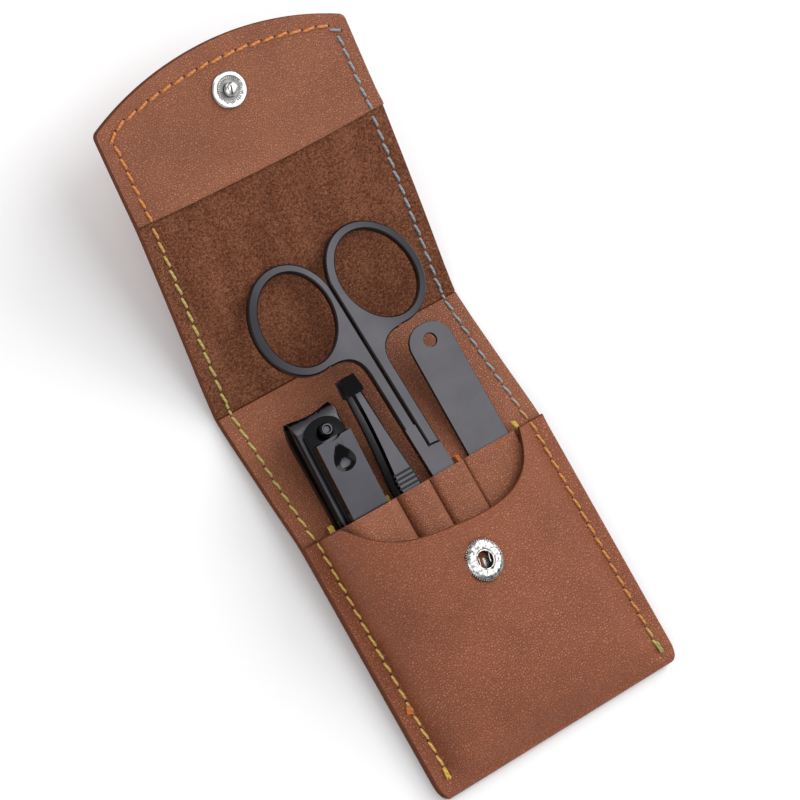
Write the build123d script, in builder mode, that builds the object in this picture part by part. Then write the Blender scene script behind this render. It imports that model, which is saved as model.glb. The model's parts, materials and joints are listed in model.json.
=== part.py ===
from build123d import *
import os
from math import asin, atan2, cos, hypot, radians, sin

# Manicure set case: a leather case lying open, with four tools in its loops.
# Millimetres and degrees. +X across the case, +Y from the bottom fold to the
# flap's tip, +Z up from the table. The origin is under the middle of the case.

# ---------------------------------------------------------------- case sizes
CORNER_RADIUS = 2.0         # bottom corners of the pocket
LEATHER = 1.2               # outer leather
LINING = 0.8                # inner panel and suede
FACING_LEATHER = 0.95
POCKET_LENGTH = 66.5        # bottom fold to the corners of the mouth
PANEL_LENGTH = 37.5         # mouth to the flap's crease
SUEDE_LENGTH = 50.5         # crease to the facing
FACING_LENGTH = 24.0        # facing's lower edge to the flap's corners
TIP_RISE = 8.3              # how far the flap's arc stands past its corners
POCKET_PITCH = 4.6          # the tools lift the mouth off the table
TIP_DROOP = 6.1             # the flap's tip bends back from the suede's slope
MOUTH_BEND = 30.0           # radius of the back where it turns down again

# pocket front
SEAM_MARGIN = 4.8           # flat sewn edge beside the padded front
LEFT_ROOM = 4.1             # from the margins to the first and the last lane
RIGHT_ROOM = 4.85
CUT_FROM_LEFT = 6.6         # ends of the curved cut-out, from the case's sides
CUT_FROM_RIGHT = 8.4
CUT_DEPTH = 12.4
CUT_BOTTOM_X = -3.5
LEFT_SHOULDER = 2.0         # the padded front rises steeply beside the clipper
LEFT_BROW = 7.0
RIGHT_SHOULDER = 3.7
SHOULDER_RISE = 0.74        # skin's height at each shoulder, of its crown
BROW_RISE = 0.96
RIGHT_RISE = 0.55
CROWN_X = 3.2               # crown of the front, from the clipper's middle

# where the flap bends
CREASE_STRIP = 4.0          # leather that bends at the crease
FOLD_START = 22.5           # crease to the flap's fold line
FOLD_STRIP = 10.0           # leather that bends at the fold

# snap fastener
SNAP_RING = 10.2
SOCKET_RING_HEIGHT = 1.3
SOCKET_HOLE = 4.3
SOCKET_FROM_MOUTH = 23.3
SOCKET_BARREL = 5.6
EYELET_RING = 8.6
STUD_RING = 9.0
STUD_RING_HEIGHT = 0.7
STUD_POST = 3.7
STUD_POST_HEIGHT = 2.4
STUD_FROM_FACING = 19.8
RIVET_HEAD = 6.6
RIVET_HEIGHT = 0.5
SNAP_BARREL = 2.6
SNAP_HEIGHT = 7.7           # the front's height under it, above the sewn edge
SNAP_SINK = 0.2             # the ring is pressed into the leather
SNAP_TILT = 8.0             # the pocket front slopes down towards the file

# tool loops: one strip, four lanes between its seams
LOOP_LEATHER = 0.8
LOOP_FROM_MOUTH = 0.2
LOOP_WIDTH = 14.3
LOOP_CORNER = 0.5
LOOP_CROWN = 4.2            # largest radius of a lane's top corners
LOOP_FOOT = 1.7             # flat ends that are tacked to the panel
LOOP_SEAM = 2.2             # between two lanes, where the strip is sewn down
LANE_SIDE = 0.5             # play beside the clipper
ARM_SIDE = 1.1              # play beside the tweezers
SHANK_SIDE = 1.3            # play beside the scissors
FILE_INSIDE = 1.65          # play beside the file, towards the scissors
LEVER_ROOM = 1.06           # room above each tool in its lane
ARM_ROOM = 1.4
SCREW_ROOM = 0.45
FILE_ROOM = 0.6

# tools
REST_GAP = 0.3              # tools lie this far off the panel

CLIPPER_OUT = 27.5          # shows past the mouth
CLIPPER_LENGTH = 56.0
CLIPPER_WIDTH = 12.8
CLIPPER_TAIL_WIDTH = 10.0
JAW_PLATE = 1.6
JAW_RISE = 6.7              # top of the upper jaw at the front, above its base
JAW_NOSE = 5.2              # length of each jaw's curved front
JAW_OPENING = 1.7           # between the cutting edges
EDGE_HOLLOW = 0.8           # the cutting edges are hollow in plan
PIN_FROM_FRONT = 5.8
PIN_DIAMETER = 2.6
PIN_HEAD = 3.4
PIN_HEAD_HEIGHT = 1.6
PIN_HOLE = 3.4
RIVET_FROM_TAIL = 4.0
TAIL_RIVET = 2.4
RIVET_END = 0.35            # peened end, proud of the upper jaw
JAW_SHOULDER = 1.4          # rounded long edges of the upper jaw
LEVER_WIDTH = 9.6
LEVER_PLATE = 1.1
LEVER_FLANGE_TAIL = 3.6
LEVER_FROM_FRONT = 8.3
LEVER_FROM_TAIL = 5.5
LEVER_TOP_FRONT = 12.2      # above the clipper's base
LEVER_TOP_TAIL = 7.5
LEVER_NOSE_DROP = 1.3       # the nose slopes down in front of the pin
DIMPLE_LENGTH = 7.4         # thumb dimple, a drop pressed into the lever
DIMPLE_WIDTH = 5.6
DIMPLE_DEPTH = 0.7
PIN_NOTCH = 3.2             # the lever's plate is hollowed round the pin

TWEEZERS_OUT = 30.5
TWEEZERS_LENGTH = 84.0
TWEEZERS_TIP_WIDTH = 4.1
TWEEZERS_NECK_WIDTH = 2.7
TWEEZERS_GRIP_WIDTH = 6.0
TWEEZERS_TAIL_WIDTH = 4.6
TWEEZERS_PLATE = 1.0
TWEEZERS_HEIGHT = 6.2
TWEEZERS_WELD = 9.0
TIP_BLOCK = 4.8
TIP_HOOK = 0.7
TIP_OPENING = 2.5
ARM_EDGE = 0.6              # broken edge along the upper arm
GRIP_FROM_TIP = 28.0
GRIP_RIDGES = 4
GRIP_SPACING = 1.15
GRIP_DEPTH = 0.3

SCISSORS_IN = 6.5           # pivot inside the mouth
SCISSORS_TURN = 2.5
SCISSORS_BASE = 1.8         # above the panel
SCISSORS_PLATE = 1.0        # each of the two lapped plates
SCISSORS_SLIT = 0.5         # between the two shanks
HANDLE_EDGE = 0.35          # broken edge round the handles
RING_CENTRE = (11.85, 55.0)
RING_REST = 0.12            # the flap leans against the rings
RING_HOLE = (9.8, 12.0)     # half axes
RING_BAND = 1.85
RING_LEAN = 11.0
BLADE_LENGTH = 27.5
BLADE_WIDTH = 5.4
LAP_RADIUS = 12.8           # end of the lapped part, from the pivot
LAP_GAP = 0.25
LAP_WIDTH = 6.2
NECK_Y = 40.3               # where each ring springs from its shank
SCREW_HEAD = 4.6
SCREW_HEAD_HEIGHT = 0.45
SCREW_SHAFT = 2.2
RUNNING_GAP = 0.05

FILE_OUT = 33.1
FILE_LENGTH = 89.0
FILE_WIDTH = 11.9
FILE_PLATE = 1.0
FILE_HOLE = 3.4
FILE_HOLE_FROM_TOP = 4.4
FILE_TAPER = 30.0
FILE_POINT = 4.0
FILE_END_RADIUS = 5.4

# ------------------------------------------------------------ derived places
STACK = LEATHER + LINING                    # back of the case
SEAM_TOP = STACK + LEATHER                  # sewn edge of the pocket
FOLD_R = SEAM_TOP / 2
pocket_a = radians(POCKET_PITCH)
FOLD_DROP = FOLD_R * (1 - sin(pocket_a) - cos(pocket_a))    # fold rests on z = 0
MOUTH_Z = FOLD_DROP + POCKET_LENGTH * sin(pocket_a)
panel_a = asin(MOUTH_Z / PANEL_LENGTH)
FOLD_Y = FOLD_R * (cos(pocket_a) - sin(pocket_a)) - FOLD_R
clipper_side = CLIPPER_WIDTH / 2 + LANE_SIDE
tweezers_side = TWEEZERS_GRIP_WIDTH / 2 + ARM_SIDE
scissors_side = LAP_WIDTH / 2 + SHANK_SIDE
file_lane = FILE_INSIDE + FILE_WIDTH + LANE_SIDE
# the case is as wide as the tools side by side, with a sewn margin each side
CASE_WIDTH = (2 * SEAM_MARGIN + LEFT_ROOM + 2 * (clipper_side + tweezers_side + scissors_side)
              + file_lane + 3 * LOOP_SEAM + RIGHT_ROOM)
HALF = CASE_WIDTH / 2
MARGIN = HALF - SEAM_MARGIN
CUT_LEFT = CUT_FROM_LEFT - HALF
CUT_RIGHT = HALF - CUT_FROM_RIGHT
LOOP_END = POCKET_LENGTH - LOOP_FROM_MOUTH
LOOP_START = LOOP_END - LOOP_WIDTH
SOCKET_FROM_FOLD = POCKET_LENGTH - SOCKET_FROM_MOUTH
CLIPPER_X = LEFT_ROOM + clipper_side - MARGIN
TWEEZERS_X = CLIPPER_X + clipper_side + LOOP_SEAM + tweezers_side
SCISSORS_X = TWEEZERS_X + tweezers_side + LOOP_SEAM + scissors_side
CLIPPER_FRONT = POCKET_LENGTH + CLIPPER_OUT
TWEEZERS_TIP = POCKET_LENGTH + TWEEZERS_OUT
SCISSORS_Y = POCKET_LENGTH - SCISSORS_IN
FILE_X = MARGIN - RIGHT_ROOM - LANE_SIDE - FILE_WIDTH / 2
FILE_TOP = POCKET_LENGTH + FILE_OUT

# the suede's slope: it rises from the crease until it leans on the rings
turn = radians(SCISSORS_TURN)
lean = radians(RING_LEAN) + turn
ring_top = (RING_CENTRE[1] * cos(turn) + RING_CENTRE[0] * sin(turn) - SCISSORS_IN
            + hypot((RING_HOLE[0] + RING_BAND) * sin(lean), (RING_HOLE[1] + RING_BAND) * cos(lean)))
ring_low = STACK + SCISSORS_BASE
ring_y = ring_top * cos(pocket_a) - ring_low * sin(pocket_a) - PANEL_LENGTH * cos(panel_a)
ring_z = ring_top * sin(pocket_a) + ring_low * cos(pocket_a) + MOUTH_Z
suede_a = atan2(ring_z, ring_y) - asin((STACK + RING_REST) / hypot(ring_y, ring_z))
facing_a = suede_a - radians(TIP_DROOP)

TIP_LENGTH = FACING_LENGTH + TIP_RISE
LENGTH_Y = (POCKET_LENGTH * cos(pocket_a) + PANEL_LENGTH * cos(panel_a)
            + SUEDE_LENGTH * cos(suede_a) + TIP_LENGTH * cos(facing_a))
Y0 = -(FOLD_Y + LENGTH_Y) / 2
MOUTH = (Y0 + POCKET_LENGTH * cos(pocket_a), MOUTH_Z)
CREASE = (MOUTH[0] + PANEL_LENGTH * cos(panel_a), 0.0)
FACING_START = (CREASE[0] + SUEDE_LENGTH * cos(suede_a), SUEDE_LENGTH * sin(suede_a))
TIP = (FACING_START[0] + TIP_LENGTH * cos(facing_a),
       FACING_START[1] + TIP_LENGTH * sin(facing_a))
FOLD_TO = FOLD_START + FOLD_STRIP


def sheet_plane(point, angle):
    """Plane of a panel: local x is across the case, local y runs up the panel."""
    return Plane(origin=(0, point[0], point[1]), x_dir=(1, 0, 0),
                 z_dir=(0, -sin(angle), cos(angle)))


def across(panel, y):
    """Plane across a panel at y: local x is across, local y is the panel's normal."""
    return Plane(origin=panel.from_local_coords((0, y, 0)), x_dir=(1, 0, 0),
                 z_dir=-panel.y_dir)


def side_on(panel, x):
    """Plane along a panel at x: local x runs up the panel, local y is its normal."""
    return Plane(origin=panel.from_local_coords((x, 0, 0)), x_dir=panel.y_dir,
                 z_dir=(1, 0, 0))


POCKET = sheet_plane((Y0, FOLD_DROP), pocket_a)
SUEDE = sheet_plane(CREASE, suede_a)
FACING = sheet_plane(FACING_START, facing_a)


def path_offset(points, distance):
    """Corners of a mitred path in the YZ plane, moved along its normals."""
    moved = []
    for i, p in enumerate(points):
        dirs = []
        if i > 0:
            dirs.append((Vector(*p) - Vector(*points[i - 1])).normalized())
        if i < len(points) - 1:
            dirs.append((Vector(*points[i + 1]) - Vector(*p)).normalized())
        normals = [Vector(-d.Y, d.X) for d in dirs]
        mean = sum(normals[1:], normals[0]).normalized()
        moved.append(Vector(*p) + mean * (distance / mean.dot(normals[0])))
    return [(m.X, m.Y) for m in moved]


def band(points, low, high, radii=()):
    """Closed outline between two offsets of a path, with its bends rounded."""
    sides = []
    for distance in (low, high):
        corners = path_offset(points, distance)
        if not radii:
            sides.append(Polyline(*corners))
            continue
        rounded = []
        for before, at, after, radius in zip(points, points[1:], points[2:], radii):
            turn = (at[0] - before[0]) * (after[1] - at[1]) - (at[1] - before[1]) * (after[0] - at[0])
            rounded.append(radius - distance if turn > 0 else radius + distance)
        sides.append(FilletPolyline(*corners, radius=rounded))
    Line(sides[0] @ 0, sides[1] @ 0)
    Line(sides[0] @ 1, sides[1] @ 1)


def along(panel_point, angle, distance):
    return (panel_point[0] + distance * cos(angle), panel_point[1] + distance * sin(angle))


def on_pocket(distance):
    return along((Y0, FOLD_DROP), pocket_a, distance)


def on_suede(distance):
    return along(CREASE, suede_a, distance)


LEFT_SIDE = Plane.YZ.offset(-HALF)
tilt = radians(SNAP_TILT)
SOCKET = Plane(origin=POCKET.from_local_coords((0, SOCKET_FROM_FOLD, SEAM_TOP + SNAP_HEIGHT - SNAP_SINK)),
               x_dir=POCKET.x_dir * cos(tilt) - POCKET.z_dir * sin(tilt),
               z_dir=POCKET.z_dir * cos(tilt) + POCKET.x_dir * sin(tilt))
STUD = Plane(origin=FACING.from_local_coords((0, STUD_FROM_FACING, 0)),
             x_dir=(1, 0, 0), z_dir=FACING.z_dir)
STUD_TOP = STUD.offset(LEATHER + FACING_LEATHER)

# --------------------------------------------------- outer leather of the body
# Each row is a section across the pocket front: distance from the fold, and
# the height above the sewn edge over the clipper, the middle and the file.
FRONT_SECTIONS = ((FOLD_R, 0.0, 0.0, 0.0), (9.0, 3.9, 4.4, 3.2),
                  (24.0, 7.0, 6.0, 3.9), (SOCKET_FROM_FOLD, 11.0, SNAP_HEIGHT, 4.5),
                  (LOOP_START, 12.9, 8.7, 4.8), (POCKET_LENGTH, 13.8, 9.4, 4.9))


def skin(foot, shoulder, brow, right_shoulder, right_foot, base, heights, lift=0.0):
    """One face of the pocket front: steep beside the clipper, gentle by the file."""
    left, middle, right = heights
    return Spline((foot, base), (shoulder, base + SHOULDER_RISE * left + lift),
                  (brow, base + BROW_RISE * left), (CLIPPER_X + CROWN_X, base + left),
                  (0.0, base + middle), (FILE_X, base + right),
                  (right_shoulder, base + RIGHT_RISE * right), (right_foot, base))


def front_section(*heights):
    """Section of the pocket front between its flat sewn edges."""
    inset = LEATHER if heights[0] else 0.0
    outer = skin(-MARGIN, LEFT_SHOULDER - MARGIN, LEFT_BROW - MARGIN,
                 MARGIN - RIGHT_SHOULDER, MARGIN, SEAM_TOP, heights)
    inner = skin(0.9 * inset - MARGIN, LEFT_SHOULDER - MARGIN + 0.9 * inset,
                 LEFT_BROW - MARGIN + 0.4 * inset, MARGIN - RIGHT_SHOULDER - 0.3 * inset,
                 MARGIN - 0.5 * inset, STACK, heights, 0.6 * inset)
    Polyline(outer @ 0, (-HALF, SEAM_TOP), (-HALF, STACK), inner @ 0)
    Polyline(outer @ 1, (HALF, SEAM_TOP), (HALF, STACK), inner @ 1)


with BuildPart() as outer_leather_body:
    # back, from the bottom fold over the lifted mouth down to the crease
    with BuildSketch(LEFT_SIDE):
        with BuildLine():
            band([on_pocket(FOLD_R), MOUTH, CREASE], 0, LEATHER, (MOUTH_BEND,))
        make_face()
    extrude(amount=CASE_WIDTH)
    # half-round bottom fold
    with BuildSketch(side_on(POCKET, -HALF)):
        with Locations((FOLD_R, FOLD_R)):
            Circle(FOLD_R)
            Circle(FOLD_R - LEATHER, mode=Mode.SUBTRACT)
        with Locations((FOLD_R, 0)):
            Rectangle(SEAM_TOP, 2 * SEAM_TOP, align=(Align.MIN, Align.CENTER), mode=Mode.SUBTRACT)
    extrude(amount=CASE_WIDTH)
    # pocket front, padded out by the tools
    with BuildPart(mode=Mode.PRIVATE) as front:
        for y, left, middle, right in FRONT_SECTIONS:
            with BuildSketch(across(POCKET, y)):
                with BuildLine():
                    front_section(left, middle, right)
                make_face()
        loft()
    add(front.part)
    # curved cut-out that leaves the loops in view
    with BuildSketch(POCKET.offset(STACK)):
        with BuildLine():
            bottom = Spline((CUT_LEFT, POCKET_LENGTH), (CUT_BOTTOM_X, POCKET_LENGTH - CUT_DEPTH),
                            (CUT_RIGHT, POCKET_LENGTH),
                            tangents=((0.55, -1), (0.25, 1)))
            Polyline(bottom @ 0, (CUT_LEFT, POCKET_LENGTH + 1), (CUT_RIGHT, POCKET_LENGTH + 1), bottom @ 1)
        make_face()
    extrude(amount=30, mode=Mode.SUBTRACT)
    # round bottom corners
    with BuildSketch(POCKET.offset(-CASE_WIDTH / 2)):
        with Locations((0, CORNER_RADIUS / 2)):
            Rectangle(CASE_WIDTH + 2, CORNER_RADIUS + 2)
        RectangleRounded(CASE_WIDTH, 4 * CORNER_RADIUS, CORNER_RADIUS,
                         align=(Align.CENTER, Align.MIN), mode=Mode.SUBTRACT)
    extrude(amount=CASE_WIDTH, mode=Mode.SUBTRACT)
    # hole and pressed seats of the snap
    with BuildSketch(SOCKET):
        Circle(SNAP_RING / 2)
    extrude(amount=3, mode=Mode.SUBTRACT)
    with BuildSketch(SOCKET.offset(-LEATHER)):
        Circle(EYELET_RING / 2)
    extrude(amount=-3, mode=Mode.SUBTRACT)
    with BuildSketch(SOCKET):
        Circle(SOCKET_BARREL / 2)
    extrude(amount=-2 * LEATHER, mode=Mode.SUBTRACT)

# ------------------------------------------------------------------ lining
with BuildPart() as inner_panel:
    with BuildSketch(LEFT_SIDE):
        with BuildLine():
            band([on_pocket(SEAM_TOP / 2 + LINING), MOUTH, CREASE], LEATHER, STACK, (MOUTH_BEND,))
        make_face()
    extrude(amount=CASE_WIDTH)

# -------------------------------------------------------------- tool loops
LEVER_FRONT = CLIPPER_FRONT - LEVER_FROM_FRONT
LEVER_TAIL = CLIPPER_FRONT - CLIPPER_LENGTH + LEVER_FROM_TAIL
LEVER_SLOPE = (LEVER_TOP_FRONT - LEVER_TOP_TAIL) / (LEVER_FRONT - LEVER_TAIL)
lever_top = LEVER_TOP_TAIL + LEVER_SLOPE * (LOOP_END - LEVER_TAIL)
# left, right and headroom above the panel
LANES = ((CLIPPER_X - clipper_side, CLIPPER_X + clipper_side, REST_GAP + lever_top + LEVER_ROOM),
         (TWEEZERS_X - tweezers_side, TWEEZERS_X + tweezers_side,
          REST_GAP + TWEEZERS_HEIGHT + ARM_ROOM),
         (SCISSORS_X - scissors_side, SCISSORS_X + scissors_side,
          SCISSORS_BASE + 2 * SCISSORS_PLATE + SCREW_HEAD_HEIGHT + SCREW_ROOM),
         (FILE_X - FILE_WIDTH / 2 - FILE_INSIDE, FILE_X + FILE_WIDTH / 2 + LANE_SIDE,
          REST_GAP + FILE_PLATE + FILE_ROOM))
with BuildPart() as tool_loops:
    half = LOOP_LEATHER / 2
    corners = [(LANES[0][0] - half - LOOP_FOOT, half)]
    radii = []
    for left, right, headroom in LANES:
        crown = min(LOOP_CROWN, 0.36 * (headroom - half))
        corners += [(left - half, half), (left - half, headroom + half),
                    (right + half, headroom + half), (right + half, half)]
        radii += [LOOP_CORNER, crown, crown, LOOP_CORNER]
    corners.append((LANES[-1][1] + half + LOOP_FOOT, half))
    with BuildSketch(across(POCKET.offset(STACK), LOOP_END)):
        with BuildLine():
            band(corners, -half, half, radii)
        make_face()
    extrude(amount=LOOP_END - LOOP_START)

# ------------------------------------------------------------ snap fastener
with BuildPart() as snap_socket:
    with BuildSketch(Plane(SOCKET.origin, x_dir=SOCKET.x_dir, z_dir=-SOCKET.y_dir)):
        with BuildLine():
            rim = SNAP_RING / 2
            hole = SOCKET_HOLE / 2
            top = SOCKET_RING_HEIGHT
            Polyline((hole, -LEATHER), (hole, top - 0.3), (hole + 0.3, top - 0.3), (hole + 0.5, top),
                     (rim - 1.3, top), (rim - 0.7, top - 0.25), (rim - 0.25, top - 0.5), (rim, 0.3),
                     (rim, 0), (SOCKET_BARREL / 2, 0), (SOCKET_BARREL / 2, -LEATHER), close=True)
        make_face()
    revolve(axis=Axis(SOCKET.origin, SOCKET.z_dir))

with BuildPart() as snap_eyelet:
    with BuildSketch(SOCKET.offset(-LEATHER)):
        Circle(EYELET_RING / 2)
    extrude(amount=-RIVET_HEIGHT)
    chamfer(snap_eyelet.faces().sort_by(Axis(SOCKET.origin, SOCKET.z_dir))[0].edges(), RIVET_HEIGHT / 2)


# ------------------------------------------------- flap, crease to fold line
def flat_sheet(plane, start, end, low, high):
    """Full-width sheet on a panel's plane, between two distances and two heights."""
    with BuildPart() as sheet:
        with BuildSketch(plane.offset(low)):
            with Locations((0, (start + end) / 2)):
                Rectangle(CASE_WIDTH, end - start)
        extrude(amount=high - low)
    return sheet


flap_panel_leather = flat_sheet(SUEDE, CREASE_STRIP, FOLD_START, 0, LEATHER)
flap_panel_suede = flat_sheet(SUEDE, CREASE_STRIP, FOLD_START, LEATHER, STACK)
fold_leather = flat_sheet(SUEDE, FOLD_START, FOLD_TO, 0, LEATHER)
fold_suede = flat_sheet(SUEDE, FOLD_START, FOLD_TO, LEATHER, STACK)


def crease_wedge(low, high):
    """Strip that turns from the inner panel's slope up to the flap's."""
    strip_end = on_suede(CREASE_STRIP)
    with BuildPart() as wedge:
        with BuildSketch(LEFT_SIDE):
            with BuildLine():
                Polyline((CREASE[0] + low * sin(panel_a), CREASE[1] + low * cos(panel_a)),
                         (strip_end[0] - low * sin(suede_a), strip_end[1] + low * cos(suede_a)),
                         (strip_end[0] - high * sin(suede_a), strip_end[1] + high * cos(suede_a)),
                         (CREASE[0] + high * sin(panel_a), CREASE[1] + high * cos(panel_a)), close=True)
            make_face()
        extrude(amount=CASE_WIDTH)
    return wedge


crease_leather = crease_wedge(0, LEATHER)
crease_suede = crease_wedge(LEATHER, STACK)

# ------------------------------------------------------- flap, fold to tip
with BuildPart() as flap_outline:
    with BuildSketch(FACING.offset(-CASE_WIDTH / 2)):
        with BuildLine():
            arc = ThreePointArc((-HALF, FACING_LENGTH), (0, TIP_LENGTH), (HALF, FACING_LENGTH))
            Polyline(arc @ 0, (-HALF, -SUEDE_LENGTH), (HALF, -SUEDE_LENGTH), arc @ 1)
        make_face()
        fillet(vertices().group_by(Axis.Y)[-1], CORNER_RADIUS)
    extrude(amount=CASE_WIDTH)

with BuildPart() as flap_tip_leather:
    with BuildSketch(LEFT_SIDE):
        with BuildLine():
            band([on_suede(FOLD_TO), FACING_START, TIP], 0, LEATHER)
        make_face()
    extrude(amount=CASE_WIDTH)
    add(flap_outline.part, mode=Mode.INTERSECT)
    with BuildSketch(STUD):
        Circle(SNAP_BARREL / 2)
    extrude(amount=LEATHER, mode=Mode.SUBTRACT)

with BuildPart() as flap_tip_suede:
    with BuildSketch(LEFT_SIDE):
        with BuildLine():
            band([on_suede(FOLD_TO), FACING_START], LEATHER, STACK)
        make_face()
    extrude(amount=CASE_WIDTH)

with BuildPart() as flap_facing:
    with BuildSketch(FACING.offset(LEATHER)):
        with Locations((0, TIP_LENGTH / 2)):
            Rectangle(CASE_WIDTH, TIP_LENGTH)
    extrude(amount=FACING_LEATHER)
    add(flap_outline.part, mode=Mode.INTERSECT)
    with BuildSketch(STUD):
        Circle(SNAP_BARREL / 2)
    extrude(amount=LEATHER + FACING_LEATHER, mode=Mode.SUBTRACT)

with BuildPart() as snap_stud:
    with BuildSketch(Plane(STUD_TOP.origin, x_dir=STUD_TOP.x_dir, z_dir=-STUD_TOP.y_dir)):
        with BuildLine():
            rim = STUD_RING / 2
            post = STUD_POST / 2
            Polyline((0, 0), (rim, 0), (rim, 0.35), (rim - 0.35, STUD_RING_HEIGHT),
                     (rim - 1.0, STUD_RING_HEIGHT), (post + 0.9, 0.3), (post - 0.2, 0.35),
                     (post - 0.25, 0.9), (post, 1.35), (post - 0.1, 1.9), (0.7 * post, STUD_POST_HEIGHT - 0.15),
                     (0.35 * post, STUD_POST_HEIGHT), (0, STUD_POST_HEIGHT), close=True)
        make_face()
    revolve(axis=Axis(STUD_TOP.origin, STUD_TOP.z_dir))

with BuildPart() as stud_rivet:
    with BuildSketch(STUD):
        Circle(RIVET_HEAD / 2)
    extrude(amount=-RIVET_HEIGHT)
    chamfer(stud_rivet.faces().sort_by(Axis(STUD.origin, STUD.z_dir))[0].edges(), RIVET_HEIGHT / 2)
    with BuildSketch(STUD):
        Circle(SNAP_BARREL / 2)
    extrude(amount=LEATHER + FACING_LEATHER)

# ------------------------------------------------------------- nail clipper
BASE = STACK + REST_GAP
TAIL = CLIPPER_FRONT - CLIPPER_LENGTH
NOSE = CLIPPER_FRONT - JAW_NOSE
PIN_Y = CLIPPER_FRONT - PIN_FROM_FRONT
RIVET_Y = TAIL + RIVET_FROM_TAIL
SPRING_Y = RIVET_Y + 2.5 * RIVET_FROM_TAIL / 2
EDGE_LOW = (JAW_RISE - JAW_OPENING) / 2
EDGE_HIGH = EDGE_LOW + JAW_OPENING
CLIPPER_SIDE = side_on(POCKET.offset(BASE), CLIPPER_X - CLIPPER_WIDTH / 2)
CLIPPER_PLAN = POCKET.offset(BASE)

with BuildPart() as jaw_outline:
    with BuildSketch(CLIPPER_PLAN.offset(-1)):
        with BuildLine():
            w, t = CLIPPER_WIDTH / 2, CLIPPER_TAIL_WIDTH / 2
            x = CLIPPER_X
            edge = ThreePointArc((x - w + 0.5, CLIPPER_FRONT), (x, CLIPPER_FRONT - EDGE_HOLLOW),
                                 (x + w - 0.5, CLIPPER_FRONT))
            end = ThreePointArc((x - t, TAIL + 2.2), (x, TAIL), (x + t, TAIL + 2.2))
            Polyline(edge @ 0, (x - w, NOSE), (x - w, TAIL + 0.45 * CLIPPER_LENGTH), end @ 0)
            Polyline(edge @ 1, (x + w, NOSE), (x + w, TAIL + 0.45 * CLIPPER_LENGTH), end @ 1)
        make_face()
    extrude(amount=20)

with BuildPart() as clipper_lower_jaw:
    with BuildSketch(CLIPPER_SIDE):
        with BuildLine():
            under = Spline((NOSE, 0), (CLIPPER_FRONT, EDGE_LOW), tangents=((1, 0), (0.3, 1)))
            inner = Spline((CLIPPER_FRONT, EDGE_LOW), (NOSE, JAW_PLATE), tangents=((-0.9, -1), (-1, 0)))
            Polyline(inner @ 1, (TAIL, JAW_PLATE), (TAIL, 0), under @ 0)
        make_face()
    extrude(amount=CLIPPER_WIDTH)
    add(jaw_outline.part, mode=Mode.INTERSECT)
    with BuildSketch(CLIPPER_PLAN):
        with Locations((CLIPPER_X, PIN_Y)):
            Circle(PIN_DIAMETER / 2)
        with Locations((CLIPPER_X, RIVET_Y)):
            Circle(TAIL_RIVET / 2)
    extrude(amount=2 * JAW_PLATE, mode=Mode.SUBTRACT)

# the upper jaw's long edges are rounded over, along its slope
jaw_a = atan2(JAW_RISE - 2 * JAW_PLATE, NOSE - SPRING_Y)
with BuildPart() as jaw_shoulders:
    with BuildSketch(Plane(origin=CLIPPER_PLAN.from_local_coords((CLIPPER_X, NOSE, JAW_RISE)), x_dir=(1, 0, 0),
                           z_dir=POCKET.y_dir * cos(jaw_a) + POCKET.z_dir * sin(jaw_a))):
        RectangleRounded(CLIPPER_WIDTH, 4 * JAW_RISE, JAW_SHOULDER, align=(Align.CENTER, Align.MIN))
    extrude(amount=CLIPPER_LENGTH, both=True)

with BuildPart() as clipper_upper_jaw:
    with BuildSketch(CLIPPER_SIDE):
        with BuildLine():
            low, high = JAW_PLATE + RUNNING_GAP, 2 * JAW_PLATE + RUNNING_GAP
            over = Spline((NOSE, JAW_RISE), (CLIPPER_FRONT, EDGE_HIGH), tangents=((1, 0), (0.3, -1)))
            inner = Spline((CLIPPER_FRONT, EDGE_HIGH), (NOSE, JAW_RISE - JAW_PLATE),
                           tangents=((-0.9, 1), (-1, 0)))
            Polyline(inner @ 1, (SPRING_Y, low), (TAIL, low), (TAIL, high), (SPRING_Y, high), over @ 0)
        make_face()
    extrude(amount=CLIPPER_WIDTH)
    add(jaw_outline.part, mode=Mode.INTERSECT)
    add(jaw_shoulders.part, mode=Mode.INTERSECT)
    with BuildSketch(CLIPPER_PLAN):
        with Locations((CLIPPER_X, PIN_Y)):
            Circle(PIN_HOLE / 2)
        with Locations((CLIPPER_X, RIVET_Y)):
            Circle(TAIL_RIVET / 2 + 2 * RUNNING_GAP)
    extrude(amount=2 * JAW_RISE, mode=Mode.SUBTRACT)

with BuildPart() as clipper_rivet:
    with BuildSketch(CLIPPER_PLAN):
        with Locations((CLIPPER_X, RIVET_Y)):
            Circle(TAIL_RIVET / 2)
    extrude(amount=2 * JAW_PLATE + RUNNING_GAP + RIVET_END)
    chamfer(clipper_rivet.faces().sort_by(Axis(POCKET.origin, POCKET.z_dir))[-1].edges(), 0.8 * RIVET_END)

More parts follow.
